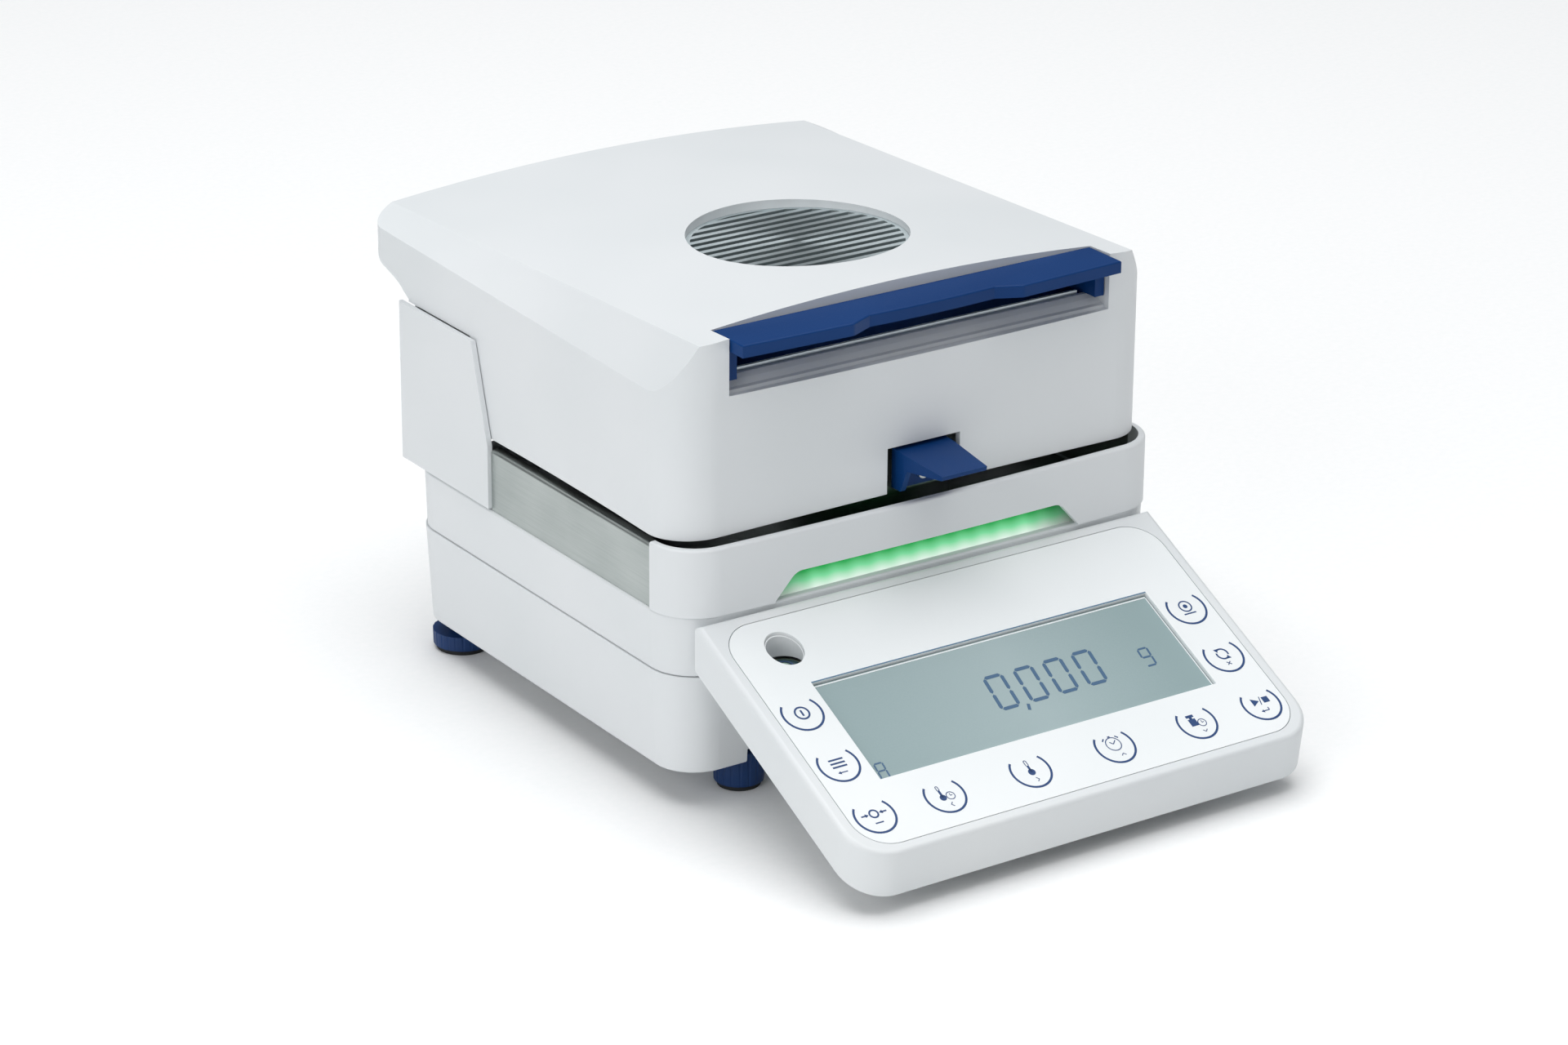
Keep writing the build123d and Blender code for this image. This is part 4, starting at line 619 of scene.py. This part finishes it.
# Handle channel: the dark blue back of the finger recess, between the arms of the handle
channel = {"radius": 11.0, "wall": 1.2, "behindStrip": 0.4, "armWidth": 4.4, "rise": 0.8,
           "sweep": 88, "steps": 12}
stripLow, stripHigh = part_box("recess_strip")
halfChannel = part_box("handle_bar")[1].x / mm - channel["armWidth"]
channelFoot = Vector((0, stripHigh.y, stripLow.z)) / mm
channelFoot += Vector((0, channel["behindStrip"], channel["rise"]))
trough = bmesh.new()
footEdge = [trough.verts.new(channelFoot + Vector((x, 0, 0))) for x in (-halfChannel, halfChannel)]
bmesh.ops.spin(trough, geom=footEdge + [trough.edges.new(footEdge)], axis=(1, 0, 0),
               cent=channelFoot + Vector((0, 0, channel["radius"])),
               angle=math.radians(channel["sweep"]), steps=channel["steps"])
bmesh.ops.solidify(trough, geom=trough.faces[:], thickness=channel["wall"])
makePiece("handle_channel", trough, inMillimetres, "blueAbs", "lid", smooth=True)
print("handle channel made")

# Level: a white sleeve under the window, the domed vial top with its ring mark, and the bubble
level = {"x": -73.0, "start": 19.9, "steps": 48,
         "outer": 6.85, "inner": 6.45, "sleeveTop": -1.2, "sleeveFoot": -5.7,
         "domeRadius": 6.4, "domeTop": -6.3, "domeFoot": -8.3, "domeRim": -6.8,
         "shoulder": (3.84, -6.45), "markRadius": 3.0, "markWidth": 0.4,
         "bubbleFoot": (1.9, -6.28), "bubbleShoulder": (1.33, -6.055), "bubbleTop": -5.95}
levelCentre = slabPlace @ Vector((level["x"], -level["start"], 0))
levelPlace = Matrix.Translation(levelCentre) @ inMillimetres


def turnProfile(points, steps):
    # Turns a closed outline of (radius, height) points round the upright axis
    shape = bmesh.new()
    corners = [shape.verts.new((radius, 0, height)) for radius, height in points]
    closed = list(zip(corners, corners[1:] + corners[:1]))
    sides = [shape.edges.new(pair) for pair in closed if pair[0].co.x + pair[1].co.x > 0]
    bmesh.ops.spin(shape, geom=corners + sides, cent=(0, 0, 0), axis=(0, 0, 1),
                   angle=math.tau, steps=steps, use_merge=True)
    bmesh.ops.remove_doubles(shape, verts=shape.verts[:], dist=0.001)
    return shape


sleeve = turnProfile(((level["inner"], level["sleeveFoot"]), (level["outer"], level["sleeveFoot"]),
                      (level["outer"], level["sleeveTop"]), (level["inner"], level["sleeveTop"])),
                     level["steps"])
for vert in sleeve.verts:
    if vert.co.z > (level["sleeveFoot"] + level["sleeveTop"]) / 2:
        vert.co.z += vert.co.y * math.tan(slabTilt)
makePiece("level_sleeve", sleeve, levelPlace, "whiteTerminalAbs", "base")
dome = turnProfile(((0, level["domeFoot"]), (level["domeRadius"], level["domeFoot"]),
                    (level["domeRadius"], level["domeRim"]), level["shoulder"], (0, level["domeTop"])),
                   level["steps"])
makePiece("level_dome", dome, levelPlace, "levelLiquid", "base")
ringMark = bmesh.new()
drawArc(ringMark, Vector((0, 0, 0)), level["markRadius"], 0, 360, level["markWidth"])
raiseFlat(ringMark, slab["film"], level["domeTop"] + slab["lift"])
makePiece("level_mark", ringMark, levelPlace, "blueLegendInk", "base")
bubble = turnProfile(((0, level["bubbleFoot"][1]), level["bubbleFoot"], level["bubbleShoulder"],
                      (0, level["bubbleTop"])), level["steps"])
makePiece("level_bubble", bubble, levelPlace, "levelBubble", "base", smooth=True)
print("level made")

# Floor and soft studio light
studio = {
    "floor": 6.0,
    "sky": ((0.5, "#585A5C"), (0.72, "#707274"), (1.0, "#C8CACC")),
    "lamps": {
        "overheadSoftbox": {"place": (0, 0.15, 2.4), "aim": (0, 0.1, 0), "size": 2.6, "power": 50},
        "leftSoftbox": {"place": (-1.8, -0.65, 0.8), "aim": (0, 0, 0.1), "size": 1.3, "power": 12},
        "frontSoftbox": {"place": (0.5, -1.6, 1.7), "aim": (0, 0, 0.1), "size": 1.0, "power": 2.5},
    },
}


def buildStudio(plan):
    floor = bmesh.new()
    bmesh.ops.create_grid(floor, x_segments=8, y_segments=8, size=plan["floor"])
    mesh = bpy.data.meshes.new("studioFloor")
    floor.to_mesh(mesh)
    floor.free()
    # Matt paper sweep: even and pale, with a fibre too fine to see from here
    paper, tree, shader, place = startMaterial("mattPaper", {"Roughness": 0.85})
    fibre = addNode(tree, "ShaderNodeTexNoise", {"Scale": 1 / (3 * mm), "Detail": 2.0},
                    {"Vector": place})
    colour = fitRamp(addNode(tree, "ShaderNodeValToRGB", links={"Fac": fibre.outputs["Fac"]}),
                     ((0.3, "#FAFBFB"), (0.7, "#FDFDFD")))
    tree.links.new(colour.outputs["Color"], shader.inputs["Base Color"])
    mesh.materials.append(paper)
    sheet = bpy.data.objects.new("studioFloor", mesh)
    bpy.context.scene.collection.objects.link(sheet)

    world = bpy.context.scene.world or bpy.data.worlds.new("studioWorld")
    bpy.context.scene.world = world
    world.use_nodes = True
    # A dark room with a bright ceiling: the sky brightens from the horizon to the zenith
    room = world.node_tree
    room.nodes.clear()
    toward = addNode(room, "ShaderNodeTexCoord").outputs["Generated"]
    upward = addNode(room, "ShaderNodeSeparateXYZ", links={"Vector": toward})
    share = addNode(room, "ShaderNodeMapRange", {"From Min": -1.0, "From Max": 1.0},
                    {"Value": upward.outputs["Z"]})
    ceiling = fitRamp(addNode(room, "ShaderNodeValToRGB", links={"Fac": share.outputs["Result"]}),
                      plan["sky"])
    glow = addNode(room, "ShaderNodeBackground", links={"Color": ceiling.outputs["Color"]})
    addNode(room, "ShaderNodeOutputWorld", links={"Surface": glow.outputs["Background"]})

    for name, lamp in plan["lamps"].items():
        data = bpy.data.lights.new(name, "AREA")
        data.shape = "SQUARE"
        data.size = lamp["size"]
        data.energy = lamp["power"]
        box = bpy.data.objects.new(name, data)
        box.location = lamp["place"]
        towardAim = Vector(lamp["aim"]) - Vector(lamp["place"])
        box.rotation_euler = towardAim.to_track_quat("-Z", "Y").to_euler()
        bpy.context.scene.collection.objects.link(box)


buildStudio(studio)
print("studio lit")
